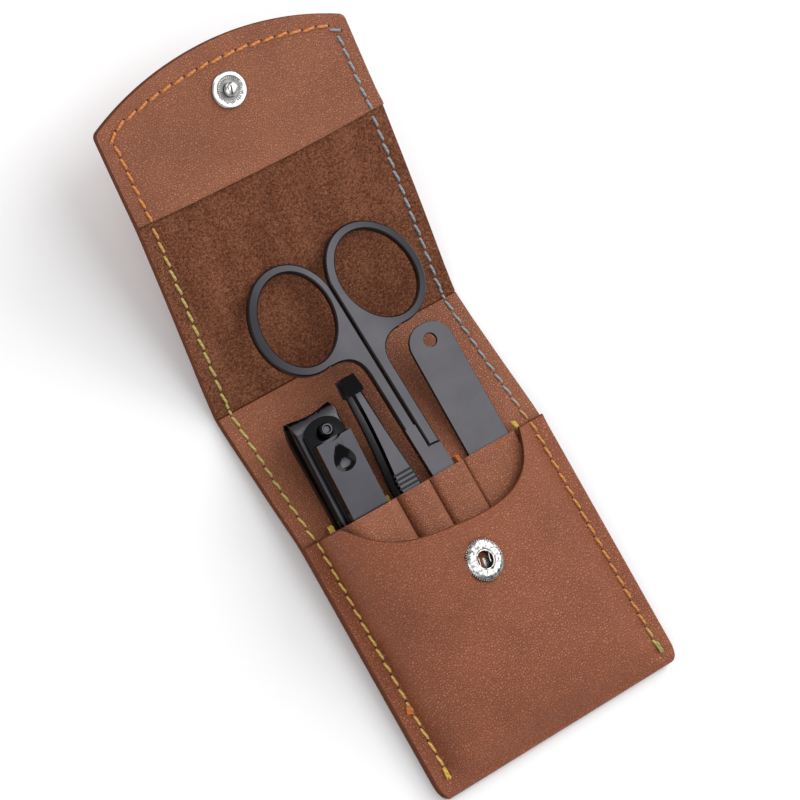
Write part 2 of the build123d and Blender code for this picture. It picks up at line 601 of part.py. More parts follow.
NOSE_TOP = LEVER_TOP_FRONT - 2.8
NOSE_LOW = JAW_RISE + 0.7
with BuildPart() as clipper_lever:
    with BuildSketch(side_on(POCKET.offset(BASE), CLIPPER_X - LEVER_WIDTH / 2)):
        with BuildLine():
            Polyline((LEVER_TAIL, LEVER_TOP_TAIL), (LEVER_FRONT, LEVER_TOP_FRONT),
                     (LEVER_FRONT + 0.3, NOSE_TOP), (PIN_Y + PIN_HOLE, NOSE_TOP - LEVER_NOSE_DROP),
                     (PIN_Y + PIN_HOLE, NOSE_LOW), (LEVER_TAIL, LEVER_TOP_TAIL - LEVER_FLANGE_TAIL),
                     close=True)
        make_face()
    extrude(amount=LEVER_WIDTH)
    # open underneath, with the plate and two flanges left
    with BuildSketch(side_on(POCKET.offset(BASE), CLIPPER_X - LEVER_WIDTH / 2 + LEVER_PLATE)):
        with BuildLine():
            Polyline((LEVER_TAIL + LEVER_PLATE, LEVER_TOP_TAIL - LEVER_PLATE),
                     (LEVER_FRONT - LEVER_PLATE, LEVER_TOP_FRONT - 1.25 * LEVER_PLATE),
                     (LEVER_FRONT - LEVER_PLATE, 0), (LEVER_TAIL + LEVER_PLATE, 0), close=True)
        make_face()
    extrude(amount=LEVER_WIDTH - 2 * LEVER_PLATE, mode=Mode.SUBTRACT)
    # rounded nose that sits round the pin
    with BuildSketch(CLIPPER_PLAN):
        with Locations((CLIPPER_X, PIN_Y)):
            Rectangle(2 * LEVER_WIDTH, 2 * LEVER_WIDTH, align=(Align.CENTER, Align.MIN))
            Ellipse(LEVER_WIDTH / 2, PIN_HOLE, mode=Mode.SUBTRACT)
    extrude(amount=2 * LEVER_TOP_FRONT, mode=Mode.SUBTRACT)
    with BuildSketch(CLIPPER_PLAN):
        with Locations((CLIPPER_X, PIN_Y)):
            Circle(PIN_HOLE / 2)
    extrude(amount=NOSE_TOP, mode=Mode.SUBTRACT)
    # rounded free end
    fillet(clipper_lever.edges().filter_by(Axis(POCKET.origin, POCKET.z_dir)).sort_by(Axis(POCKET.origin, POCKET.y_dir))[:2], 1.6)
    # the plate's front edge is hollowed round the pin
    with BuildSketch(CLIPPER_PLAN.offset(NOSE_TOP)):
        with Locations((CLIPPER_X, PIN_Y)):
            Circle(PIN_NOTCH)
    extrude(amount=LEVER_TOP_FRONT, mode=Mode.SUBTRACT)
    # thumb dimple, a drop scooped out behind the pin
    lever_a = pocket_a + atan2(LEVER_SLOPE, 1)
    dimple_axis = ((DIMPLE_WIDTH / 2) ** 2 - DIMPLE_DEPTH ** 2) / (2 * DIMPLE_DEPTH)
    with BuildSketch(Plane(origin=CLIPPER_PLAN.from_local_coords(
            (CLIPPER_X, LEVER_FRONT - LEVER_PLATE, LEVER_TOP_FRONT - LEVER_SLOPE * LEVER_PLATE)),
            x_dir=(0, -cos(lever_a), -sin(lever_a)), z_dir=(-1, 0, 0))) as drop:
        with BuildLine():
            scoop = Spline((0, 0), (0.35 * DIMPLE_LENGTH, -0.5 * DIMPLE_DEPTH),
                           (0.66 * DIMPLE_LENGTH, -DIMPLE_DEPTH), (DIMPLE_LENGTH, 0))
            Polyline(scoop @ 0, (0, dimple_axis), (DIMPLE_LENGTH, dimple_axis), scoop @ 1)
        make_face()
    revolve(axis=Axis(drop.workplanes[0].from_local_coords((0, dimple_axis, 0)),
                      drop.workplanes[0].x_dir), mode=Mode.SUBTRACT)

with BuildPart() as clipper_pin:
    with BuildSketch(CLIPPER_PLAN):
        with Locations((CLIPPER_X, PIN_Y)):
            Circle(PIN_DIAMETER / 2)
    extrude(amount=NOSE_TOP + 0.4)
    with BuildSketch(CLIPPER_PLAN.offset(NOSE_TOP + 0.4)):
        with Locations((CLIPPER_X, PIN_Y)):
            Circle(PIN_HEAD / 2)
    extrude(amount=PIN_HEAD_HEIGHT)
    chamfer(clipper_pin.faces().sort_by(Axis(POCKET.origin, POCKET.z_dir))[-1].edges(), PIN_HEAD / 10)
    with BuildSketch(CLIPPER_PLAN.offset(NOSE_TOP + 0.4 + PIN_HEAD_HEIGHT)):
        with Locations((CLIPPER_X, PIN_Y)):
            Circle(PIN_HEAD / 4)
    extrude(amount=-PIN_HEAD_HEIGHT / 3, mode=Mode.SUBTRACT)

# ---------------------------------------------------------------- tweezers
TW_TAIL = TWEEZERS_TIP - TWEEZERS_LENGTH
TW_PLAN = POCKET.offset(BASE)
TW_GRIP = TWEEZERS_TIP - GRIP_FROM_TIP
TW_NECK = TWEEZERS_TIP - TIP_BLOCK
with BuildPart() as arm_outline:
    with BuildSketch(TW_PLAN.offset(-1)):
        with BuildLine():
            x, tail = TWEEZERS_X, TWEEZERS_TAIL_WIDTH / 2
            grip, neck, tip = TWEEZERS_GRIP_WIDTH / 2, TWEEZERS_NECK_WIDTH / 2, TWEEZERS_TIP_WIDTH / 2
            for side in (-1, 1):
                waist = Spline((x + side * grip, TW_GRIP), (x + side * neck, TW_NECK),
                               tangents=((-0.13 * side, 1), (-0.02 * side, 1)))
                Polyline((x, TW_TAIL), (x + side * (tail - 0.8), TW_TAIL), (x + side * tail, TW_TAIL + 1.2),
                         (x + side * grip, TW_GRIP - 3), waist @ 0)
                Polyline(waist @ 1, (x + side * tip, TW_NECK + 0.4), (x + side * tip, TWEEZERS_TIP),
                         (x, TWEEZERS_TIP))
        make_face()
    extrude(amount=20)

with BuildPart() as tweezers_lower_arm:
    with BuildSketch(side_on(TW_PLAN, TWEEZERS_X - TWEEZERS_GRIP_WIDTH / 2)):
        with BuildLine():
            Polyline((TW_TAIL, 0), (TW_NECK, 0), (TWEEZERS_TIP, TIP_HOOK), (TWEEZERS_TIP, TIP_HOOK + 0.6 * TWEEZERS_PLATE),
                     (TW_NECK, TWEEZERS_PLATE), (TW_TAIL, TWEEZERS_PLATE), close=True)
        make_face()
    extrude(amount=TWEEZERS_GRIP_WIDTH)
    add(arm_outline.part, mode=Mode.INTERSECT)

with BuildPart() as tweezers_upper_arm:
    with BuildSketch(side_on(TW_PLAN, TWEEZERS_X - TWEEZERS_GRIP_WIDTH / 2)):
        with BuildLine():
            p = TWEEZERS_PLATE
            weld = TW_TAIL + TWEEZERS_WELD
            rise = TWEEZERS_HEIGHT - p
            tip_low = TIP_HOOK + 0.6 * p + TIP_OPENING
            inner = Spline((weld, p), (0.45 * weld + 0.55 * TW_GRIP, 0.8 * rise), (TW_GRIP, rise), (TW_NECK, tip_low + 0.9),
                           tangents=((1, 0.02), (1, -0.1)))
            outer = Spline((weld, 2 * p), (0.45 * weld + 0.55 * TW_GRIP, 0.8 * rise + p), (TW_GRIP, rise + p),
                           (TW_NECK, tip_low + 0.9 + p), tangents=((1, 0.02), (1, -0.1)))
            Polyline(inner @ 1, (TWEEZERS_TIP, tip_low), (TWEEZERS_TIP, tip_low + 0.6 * p), outer @ 1)
            Polyline(inner @ 0, (TW_TAIL, p), (TW_TAIL, 2 * p), outer @ 0)
        make_face()
    extrude(amount=TWEEZERS_GRIP_WIDTH)
    add(arm_outline.part, mode=Mode.INTERSECT)
    # the long edges are broken, which leaves a narrow flat on top
    arm_top = tweezers_upper_arm.faces().filter_by(GeomType.PLANE, reverse=True).sort_by(
        Axis(POCKET.origin, POCKET.z_dir))[-1]
    chamfer([e for e in arm_top.edges() if abs(TW_PLAN.to_local_coords(e.center()).X - TWEEZERS_X) > 1], ARM_EDGE)
    # grip ridges across the widest part
    with BuildSketch(TW_PLAN.offset(TWEEZERS_HEIGHT - GRIP_DEPTH)):
        with Locations((TWEEZERS_X, TW_GRIP)):
            with GridLocations(1, GRIP_SPACING, 1, GRIP_RIDGES):
                Rectangle(2 * TWEEZERS_GRIP_WIDTH, GRIP_SPACING / 2)
    extrude(amount=2, mode=Mode.SUBTRACT)

# ---------------------------------------------------------------- scissors
pivot = POCKET.offset(STACK + SCISSORS_BASE)
SCISSORS = Plane(origin=pivot.from_local_coords((SCISSORS_X, SCISSORS_Y, 0)),
                 x_dir=POCKET.x_dir * cos(turn) + POCKET.y_dir * sin(turn), z_dir=POCKET.z_dir)
LAP = SCISSORS_PLATE - RUNNING_GAP / 2


def handle_outline(side):
    """Outline of one handle: ring, neck and shank on its side of the split line."""
    s, slit = side, SCISSORS_SLIT / 2
    with BuildSketch() as outline:
        with BuildLine():
            hook = Spline((s * LAP_WIDTH / 2, NECK_Y - 6), (s * (LAP_WIDTH / 2 + 1.6), NECK_Y - 0.9),
                          (s * (LAP_WIDTH / 2 + 6.8), NECK_Y + 0.8), tangents=((0, 1), (s * 1, -0.1)))
            Polyline(hook @ 0, (s * LAP_WIDTH / 2, 0), (s * slit, 0), (s * slit, RING_CENTRE[1] + 2),
                     (s * LAP_WIDTH, RING_CENTRE[1]), hook @ 1)
        make_face()
        with Locations((s * RING_CENTRE[0], RING_CENTRE[1])):
            Ellipse(RING_HOLE[0] + RING_BAND, RING_HOLE[1] + RING_BAND, rotation=s * RING_LEAN)
            Ellipse(*RING_HOLE, rotation=s * RING_LEAN, mode=Mode.SUBTRACT)
        # nothing crosses the split line
        with Locations((-s * (2 * RING_CENTRE[0] - slit), 0)):
            Rectangle(4 * RING_CENTRE[0], 4 * RING_CENTRE[1], mode=Mode.SUBTRACT)
    return outline.sketch


def blade_outline(side):
    """Lapped plate round the pivot and the blade, which crosses to the other side."""
    s = -side
    with BuildSketch() as outline:
        with BuildLine():
            spine = Spline((s * LAP_WIDTH / 2, 2.0), (s * BLADE_WIDTH / 2, -0.35 * BLADE_LENGTH),
                           (s * 0.4, -BLADE_LENGTH), tangents=((-s * 0.05, -1), (-s * 0.3, -1)))
            Polyline(spine @ 0, (s * LAP_WIDTH / 2, LAP_RADIUS), (-s * LAP_WIDTH / 2, LAP_RADIUS),
                     (-s * LAP_WIDTH / 2, 1.5), (-s * 1.0, -4.5), (-s * 0.3, -0.97 * BLADE_LENGTH),
                     spine @ 1)
        make_face()
        with BuildSketch(mode=Mode.PRIVATE) as reach:
            Circle(LAP_RADIUS)
            with Locations((0, -BLADE_LENGTH)):
                Rectangle(4 * LAP_WIDTH, 2 * BLADE_LENGTH)
        add(reach.sketch, mode=Mode.INTERSECT)
    return outline.sketch


def scissors_half(side, own_base):
    """One half: full-height handle beyond the lap, its own plate within it."""
    with BuildPart() as half:
        with BuildSketch(SCISSORS):
            add(handle_outline(side))
            Circle(LAP_RADIUS + LAP_GAP, mode=Mode.SUBTRACT)
        extrude(amount=2 * SCISSORS_PLATE)
        upper = half.faces().sort_by(Axis(POCKET.origin, POCKET.z_dir))[-1]
        chamfer(upper.edges(), HANDLE_EDGE)
        with BuildSketch(SCISSORS.offset(own_base)):
            add(handle_outline(side))
            with Locations((0, LAP_RADIUS)):
                Rectangle(2 * LAP_WIDTH, LAP_RADIUS, mode=Mode.INTERSECT)
            add(blade_outline(side))
        extrude(amount=LAP)
    return half


scissors_left = scissors_half(-1, SCISSORS_PLATE + RUNNING_GAP / 2)
scissors_right = scissors_half(1, 0)
with BuildPart() as scissors_left_half:
    add(scissors_left.part)
    with BuildSketch(SCISSORS):
        Circle(SCREW_SHAFT / 2)
    extrude(amount=3 * SCISSORS_PLATE, mode=Mode.SUBTRACT)
with BuildPart() as scissors_right_half:
    add(scissors_right.part)
    with BuildSketch(SCISSORS):
        Circle(SCREW_SHAFT / 2 + RUNNING_GAP)
    extrude(amount=3 * SCISSORS_PLATE, mode=Mode.SUBTRACT)
with BuildPart() as scissors_screw:
    with BuildSketch(SCISSORS):
        Circle(SCREW_SHAFT / 2)
    extrude(amount=2 * SCISSORS_PLATE)
    with BuildSketch(SCISSORS.offset(2 * SCISSORS_PLATE)):
        Circle(SCREW_HEAD / 2)
    extrude(amount=SCREW_HEAD_HEIGHT)

# --------------------------------------------------------------- nail file
with BuildPart() as nail_file:
    with BuildSketch(POCKET.offset(BASE)):
        with BuildLine():
            x, h, r = FILE_X, FILE_WIDTH / 2, FILE_END_RADIUS
            y1, y0 = FILE_TOP, FILE_TOP - FILE_LENGTH
            Polyline((x - FILE_POINT / 2, y0), (x - h, y0 + FILE_TAPER), (x - h, y1), (x + h, y1),
                     (x + h, y0 + FILE_TAPER), (x + FILE_POINT / 2, y0), close=True)
        make_face()
        fillet(vertices().group_by(Axis.Y)[-1], r)
        fillet(vertices().group_by(Axis.Y)[0], FILE_POINT / 3)
        with Locations((x, y1 - FILE_HOLE_FROM_TOP)):
            Circle(FILE_HOLE / 2, mode=Mode.SUBTRACT)
    extrude(amount=FILE_PLATE)

# ------------------------------------------------------------------ output
os.makedirs("parts", exist_ok=True)
outer_leather_body.part.label = "outer_leather_body"
export_step(outer_leather_body.part, "parts/outer_leather_body.step")
inner_panel.part.label = "inner_panel"
export_step(inner_panel.part, "parts/inner_panel.step")
tool_loops.part.label = "tool_loops"
export_step(tool_loops.part, "parts/tool_loops.step")
snap_socket.part.label = "snap_socket"
export_step(snap_socket.part, "parts/snap_socket.step")
snap_eyelet.part.label = "snap_eyelet"
export_step(snap_eyelet.part, "parts/snap_eyelet.step")
flap_panel_leather.part.label = "flap_panel_leather"
export_step(flap_panel_leather.part, "parts/flap_panel_leather.step")
flap_panel_suede.part.label = "flap_panel_suede"
export_step(flap_panel_suede.part, "parts/flap_panel_suede.step")
crease_leather.part.label = "crease_leather"
export_step(crease_leather.part, "parts/crease_leather.step")
crease_suede.part.label = "crease_suede"
export_step(crease_suede.part, "parts/crease_suede.step")
fold_leather.part.label = "fold_leather"
export_step(fold_leather.part, "parts/fold_leather.step")
fold_suede.part.label = "fold_suede"
export_step(fold_suede.part, "parts/fold_suede.step")
flap_tip_leather.part.label = "flap_tip_leather"
export_step(flap_tip_leather.part, "parts/flap_tip_leather.step")
flap_tip_suede.part.label = "flap_tip_suede"
export_step(flap_tip_suede.part, "parts/flap_tip_suede.step")
flap_facing.part.label = "flap_facing"
export_step(flap_facing.part, "parts/flap_facing.step")
snap_stud.part.label = "snap_stud"
export_step(snap_stud.part, "parts/snap_stud.step")
stud_rivet.part.label = "stud_rivet"
export_step(stud_rivet.part, "parts/stud_rivet.step")
clipper_lower_jaw.part.label = "clipper_lower_jaw"
export_step(clipper_lower_jaw.part, "parts/clipper_lower_jaw.step")
clipper_upper_jaw.part.label = "clipper_upper_jaw"
export_step(clipper_upper_jaw.part, "parts/clipper_upper_jaw.step")
clipper_rivet.part.label = "clipper_rivet"
export_step(clipper_rivet.part, "parts/clipper_rivet.step")
clipper_pin.part.label = "clipper_pin"
export_step(clipper_pin.part, "parts/clipper_pin.step")
clipper_lever.part.label = "clipper_lever"
export_step(clipper_lever.part, "parts/clipper_lever.step")
tweezers_lower_arm.part.label = "tweezers_lower_arm"
export_step(tweezers_lower_arm.part, "parts/tweezers_lower_arm.step")
tweezers_upper_arm.part.label = "tweezers_upper_arm"
export_step(tweezers_upper_arm.part, "parts/tweezers_upper_arm.step")
scissors_left_half.part.label = "scissors_left_half"
export_step(scissors_left_half.part, "parts/scissors_left_half.step")
scissors_right_half.part.label = "scissors_right_half"
export_step(scissors_right_half.part, "parts/scissors_right_half.step")
scissors_screw.part.label = "scissors_screw"
export_step(scissors_screw.part, "parts/scissors_screw.step")
nail_file.part.label = "nail_file"
export_step(nail_file.part, "parts/nail_file.step")
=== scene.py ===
# %% [markdown]
# # A manicure case lying open
# A small leather case holds a nail clipper, tweezers, scissors and a file. Its
# sizes are already settled in the CAD parts, so they are loaded first and stay
# fixed. Everything below dresses them: leather, suede, thread, nickel and steel.

# %% Load the parts
import json
import math
import bmesh
import bpy
import numpy as np
from mathutils import Matrix, Vector
from mathutils.bvhtree import BVHTree


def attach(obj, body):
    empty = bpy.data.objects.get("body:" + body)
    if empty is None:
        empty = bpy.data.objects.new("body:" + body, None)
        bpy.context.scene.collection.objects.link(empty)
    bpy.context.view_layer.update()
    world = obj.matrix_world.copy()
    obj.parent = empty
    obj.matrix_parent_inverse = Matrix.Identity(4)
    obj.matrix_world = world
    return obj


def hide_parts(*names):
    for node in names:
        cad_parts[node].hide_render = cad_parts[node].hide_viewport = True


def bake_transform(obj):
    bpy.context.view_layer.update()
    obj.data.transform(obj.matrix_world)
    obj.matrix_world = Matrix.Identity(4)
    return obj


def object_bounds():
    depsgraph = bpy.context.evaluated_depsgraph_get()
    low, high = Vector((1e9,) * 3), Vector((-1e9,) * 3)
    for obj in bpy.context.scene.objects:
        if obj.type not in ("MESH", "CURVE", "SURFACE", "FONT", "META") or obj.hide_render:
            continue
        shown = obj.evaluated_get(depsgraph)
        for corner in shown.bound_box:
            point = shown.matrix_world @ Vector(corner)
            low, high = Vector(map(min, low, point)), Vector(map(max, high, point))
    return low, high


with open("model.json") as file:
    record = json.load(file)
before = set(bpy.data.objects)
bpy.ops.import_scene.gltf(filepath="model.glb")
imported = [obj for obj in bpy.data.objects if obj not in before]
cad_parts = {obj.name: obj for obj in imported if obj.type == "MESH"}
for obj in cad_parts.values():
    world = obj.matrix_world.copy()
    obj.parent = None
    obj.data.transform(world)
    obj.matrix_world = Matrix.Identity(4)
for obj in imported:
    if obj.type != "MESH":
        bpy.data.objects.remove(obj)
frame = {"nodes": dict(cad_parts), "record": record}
cad_box = [list(corner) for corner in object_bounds()]
MM = 0.001

# %% [markdown]
# ## A way to write materials
# A material is a graph of nodes. Wiring each Math node by hand hides the idea
# behind it, so one small class lets sockets be added and multiplied like
# numbers. Its reflected forms make 1 - mask work as well as mask - 1.

# %% Sockets that can be added and multiplied
class Value:
    def __init__(self, graph, socket):
        self.graph, self.socket = graph, socket

    def math(self, operation, first, second):
        return self.graph.add("ShaderNodeMath", {"operation": operation}, {0: first, 1: second})

    def __add__(self, other): return self.math("ADD", self, other)
    def __radd__(self, other): return self.math("ADD", other, self)
    def __sub__(self, other): return self.math("SUBTRACT", self, other)
    def __rsub__(self, other): return self.math("SUBTRACT", other, self)
    def __mul__(self, other): return self.math("MULTIPLY", self, other)
    def __rmul__(self, other): return self.math("MULTIPLY", other, self)
    def __truediv__(self, other): return self.math("DIVIDE", self, other)
    def __rtruediv__(self, other): return self.math("DIVIDE", other, self)
    def __abs__(self): return self.math("ABSOLUTE", self, 0.0)


print("sockets can be added, subtracted, multiplied and divided")

# %% [markdown]
# Every other node comes from one method. It takes the node's type, then its
# settings, then the values or links of its sockets. The settings go first,
# because some of them change which sockets a node has.

# %% A graph of nodes
class Graph:
    """A node tree, for a material or for Geometry Nodes."""
    def __init__(self, tree):
        self.tree = tree

    def add(self, kind, settings=None, inputs=None, out=0):
        node = self.tree.nodes.new(kind)
        for name, setting in (settings or {}).items():
            if name == "stops":
                ramp = node.color_ramp.elements
                while len(ramp) < len(setting):
                    ramp.new(0.5)
                for element, (place, colour) in zip(ramp, setting):
                    element.position, element.color = place, (*colour, 1.0)
            else:
                setattr(node, name, setting)
        for name, value in (inputs or {}).items():
            self.feed(node.inputs[name], value)
        return Value(self, node.outputs[out])

    def feed(self, socket, value):
        if isinstance(value, Value):
            self.tree.links.new(value.socket, socket)
        elif isinstance(value, tuple) and len(value) == 3 and socket.type == "RGBA":
            socket.default_value = (*value, 1.0)
        else:
            socket.default_value = value


print("graph ready")

# %% [markdown]
# A finish is one material. Its patterns read Object coordinates, and since each
# piece's object sits at the origin, a pattern is sized in real millimetres and
# runs on from one sheet to the next. Constants go on the shader's own sockets.

# %% Finishes
class Finish(Graph):
    """A material: constants go on the shader's own sockets, patterns feed them."""
    def __init__(self, name, **constants):
        self.material = bpy.data.materials.new(name)
        self.material.use_nodes = True
        super().__init__(self.material.node_tree)
        self.shader = self.tree.nodes["Principled BSDF"]
        self.object = self.add("ShaderNodeTexCoord", out="Object")
        self.set(**constants)

    def set(self, **sockets):
        for name, value in sockets.items():
            self.feed(self.shader.inputs[name.replace("_", " ")], value)

    def place(self, stretch, turn):
        """The object's coordinates, turned and stretched."""
        return self.add("ShaderNodeMapping", None, {
            "Vector": self.object, "Rotation": turn, "Scale": stretch})

    def noise(self, size, detail, roughness=0.5, where=None, out=0):
        """Cloudy noise with features of about size millimetres."""
        return self.add("ShaderNodeTexNoise", None, {
            "Vector": where or self.object, "Scale": 1 / (size * MM), "Detail": detail,
            "Roughness": roughness}, out=out)

    def ramp(self, value, *stops):
        return self.add("ShaderNodeValToRGB", {"stops": stops}, {"Fac": value})

    def stretch(self, value, low, high, kind="LINEAR"):
        """Spreads what lies between low and high over 0 to 1."""
        return self.add("ShaderNodeMapRange", {"interpolation_type": kind},
                        {"Value": value, "From Min": low, "From Max": high})

    def mix(self, factor, first, second):
        return self.add("ShaderNodeMix", {"data_type": "RGBA"},
                        {"Factor": factor, 6: first, 7: second}, out=2)

    def axes(self, vector):
        node = self.tree.nodes.new("ShaderNodeSeparateXYZ")
        self.feed(node.inputs[0], vector)
        return [Value(self, socket) for socket in node.outputs]

    def bump(self, height, depth, under=None):
        """Height from 0 to 1 raised by depth millimetres."""
        inputs = {"Height": height, "Distance": depth * MM, "Strength": 1.0}
        if under is not None:
            inputs["Normal"] = under
        return self.add("ShaderNodeBump", None, inputs)


print("finishes ready")

# %% [markdown]
# ## Leather
# The case is soft imitation leather, embossed with small pebbles. Pebbles are
# Voronoi cells: the distance to a cell's edge is low in the creases and high on
# the pebbles. A little noise bends the cells so that they don't look like tiles.
# The polish of use makes the pebbles' tops smoother than the creases.

# %% Pebbled leather
def leather(name, light, dark, pebble, depth, shine):
    """Pebbles of a width and depth in millimetres; shine is the tops' roughness."""
    crease_shade, crease_dull, fine_dull = 0.54, 0.16, 0.10
    f = Finish(name, Specular_IOR_Level=0.42)
    bent = f.add("ShaderNodeVectorMath", {"operation": "MULTIPLY_ADD"}, {
        0: f.noise(1.7 * pebble, 2.0, out=1), 1: (1.3 * pebble * MM,) * 3, 2: f.object})
    cells = f.add("ShaderNodeTexVoronoi", {"feature": "DISTANCE_TO_EDGE"},
                  {"Vector": bent, "Scale": 1 / (pebble * MM)})
    tops = f.stretch(cells, 0.0, 0.28, "SMOOTHSTEP")
    creases = 1 - tops
    clouds, fine = f.noise(16.0, 2.0), f.noise(0.26, 2.0, 0.6)
    tone = f.ramp(clouds * 0.3 + fine * 0.6 + tops * 0.1, (0.34, dark), (0.58, light))
    f.set(Base_Color=f.mix(creases * crease_shade, tone, dark),
          Roughness=shine + creases * crease_dull + fine * fine_dull,
          Normal=f.bump(fine, 0.045, under=f.bump(tops, depth)))
    return f.material


outer_leather = leather("pebbled_tan_leather", (0.362, 0.110, 0.045), (0.175, 0.045, 0.016),
                        pebble=0.66, depth=0.150, shine=0.38)
lining_leather = leather("fine_tan_leather", (0.390, 0.134, 0.062), (0.185, 0.057, 0.024),
                         pebble=0.58, depth=0.140, shine=0.42)
print("leather:", outer_leather.name, lining_leather.name)

# %% [markdown]
# The sheets were die-cut, and a cut edge is darker and rougher than the face:
# it shows the fibre, scuffed and stained. The hole that is punched for the snap
# shows the same fibre, painted darker still as the shade in the hole.

# %% Cut edges
def cut_edge(name, dark, light):
    f = Finish(name, Specular_IOR_Level=0.1)
    fibre = f.noise(0.25, 3.0, 0.7)
    f.set(Base_Color=f.ramp(fibre, (0.3, dark), (0.75, light)),
          Roughness=0.62 + fibre * 0.2, Normal=f.bump(fibre, 0.05))
    return f.material


edge_paint = cut_edge("dark_cut_edge", (0.055, 0.015, 0.006), (0.200, 0.062, 0.024))
# The punched hole's darker fibre is painted shade inside the hole.
snap_hole_shade = cut_edge("dark_punched_hole", (0.012, 0.006, 0.004), (0.070, 0.034, 0.020))
print("edges:", edge_paint.name, snap_hole_shade.name)

# %% [markdown]
# Suede is leather's flesh side, brushed to a nap. It has no gloss. Its tone
# drifts where fingers have stroked the nap, and single tufts are light and dark.
# Sheen gives the soft glow at grazing angles.

# %% Suede
def suede():
    f = Finish("brown_suede", Specular_IOR_Level=0.08, Sheen_Weight=0.12,
               Sheen_Roughness=0.6, Sheen_Tint=(0.62, 0.40, 0.28, 1.0))
    tufts = f.noise(0.60, 4.0, 0.7)
    hairs = f.noise(0.22, 2.0, 0.6)
    strokes = f.noise(7.0, 3.0, 0.6, where=f.place(stretch=(1.0, 0.35, 0.35), turn=(0, 0, 0.5)))
    tone = f.ramp(strokes * 0.14 + tufts * 0.43 + hairs * 0.43,
                  (0.40, (0.045, 0.013, 0.006)), (0.50, (0.142, 0.047, 0.023)),
                  (0.60, (0.300, 0.125, 0.068)))
    f.set(Base_Color=tone, Roughness=0.9,
          Normal=f.bump(hairs, 0.10, under=f.bump(tufts, 0.30)))
    return f.material


suede_nap = suede()
print("suede:", suede_nap.name)

# %% [markdown]
# ## Metal
# The snap is pressed brass under nickel plate. A mirror shows its surroundings,
# so its tone comes from the room, and a slow smear of wear makes some places
# dull and dark.

# %% Nickel
def nickel(name, low, high, roughness, size=1.3):
    """Plate that is worn from high to low in patches of about size millimetres."""
    f = Finish(name, Metallic=1.0)
    smear = f.noise(size, 3.0)
    f.set(Base_Color=f.ramp(smear, (0.3, (low,) * 3), (0.7, (high, 0.99 * high, 0.97 * high))),
          Roughness=roughness + smear * 0.16, Normal=f.bump(f.noise(0.5, 2.0), 0.006))
    return f.material


snap_nickel = nickel("bright_nickel", 0.50, 0.78, 0.15)
# The dull nickel is painted shade in the valley round the stud's post.
dull_nickel = nickel("dull_nickel", 0.20, 0.34, 0.30)
worn_nickel = nickel("worn_nickel", 0.05, 0.86, 0.20, size=0.7)
print("nickel:", snap_nickel.name, dull_nickel.name, worn_nickel.name)

# %% [markdown]
# The tools are stamped steel. The flats carry a satin black coat, which is a dark
# metal with a fine grain. The clipper's sides and other faces turned away from the
# light get a darker gloss black, which is painted shade. On the scissors the coat
# is painted darker out at the rings as their shade, so one mask grows with the
# distance from the middle of the tool.

# %% Black steel
SCISSORS_X, RING_SHADE_FROM, RING_SHADE_TO = 3.0, 4.0, 23.0
SATIN_TONE = (0.070, 0.068, 0.075)


def black_steel(name, base, roughness, coat=0.0, grain=0.003, ring_shade=0.0):
    f = Finish(name, Metallic=1.0, Specular_IOR_Level=0.5, Coat_Weight=coat,
               Coat_Roughness=0.06)
    speck = f.noise(0.12, 2.0, 0.6)
    film = f.noise(9.0, 3.0)
    tone = f.ramp(film * 0.6 + speck * 0.4, (0.3, tuple(0.8 * c for c in base)),
                  (0.7, tuple(1.2 * c for c in base)))
    # This mask paints shade on the scissors' rings, darker with the distance from the tool's
    # middle.
    if ring_shade:
        from_middle = abs(f.axes(f.object)[0] / MM - SCISSORS_X)
        ring_shaded = f.stretch(from_middle, RING_SHADE_FROM, RING_SHADE_TO)
        tone = f.mix(ring_shaded * ring_shade, tone, (0.004, 0.004, 0.005))
    f.set(Base_Color=tone, Roughness=roughness + film * 0.08 + speck * 0.05,
          Normal=f.bump(speck, grain))
    return f.material


# The gloss black and the tip's black are darker copies of the coat: painted shade on faces turned
# away from the light.
gloss_shade_black = black_steel("gloss_black_lacquer", (0.012, 0.012, 0.013), 0.12, 0.10, 0.002)
satin_black = black_steel("satin_black_coat", SATIN_TONE, 0.30)
ring_shade_black = black_steel("handled_black_coat", SATIN_TONE, 0.30, ring_shade=0.66)
lever_black = black_steel("grey_black_coat", (0.061, 0.060, 0.068), 0.26)
half_shade_black = black_steel("worn_black_coat", (0.042, 0.041, 0.046), 0.32)
# The tarnished metal is tarnish on the socket's rim, and painted shade at the stud's foot and in
# its slot.
tarnish_and_shade = black_steel("tarnished_metal", (0.090, 0.080, 0.070), 0.45)
print("steel:", gloss_shade_black.name, satin_black.name, ring_shade_black.name)

# %% [markdown]
# ## The strip
# The whole case is one long strip that folds and creases. Each sheet lies at its
# own height on the strip, so one function places them all: across the case (x),
# along the strip from the bottom fold (s), and above its outside face (h), all
# in millimetres. Corners are rounded, because leather can't crease to a point.

# %% Path of the strip
LEATHER, LINING, FACING = 1.2, 0.8, 0.95
HALF, FOLD_R = 35.0, 1.6
MOUTH_S, CREASE_S, FACING_S, CORNER_S, TIP_S = 66.5, 104.0, 154.5, 178.5, 186.8
CORNERS = [(-89.807, -0.124), (-23.520, 5.209), (13.617, 0.0), (59.386, 21.345),
           (89.944, 31.809)]
MARKS = [0.0, MOUTH_S, CREASE_S, FACING_S, TIP_S]
BENDS = [26.0, 4.5, 18.0]
ARC_STEPS = 12


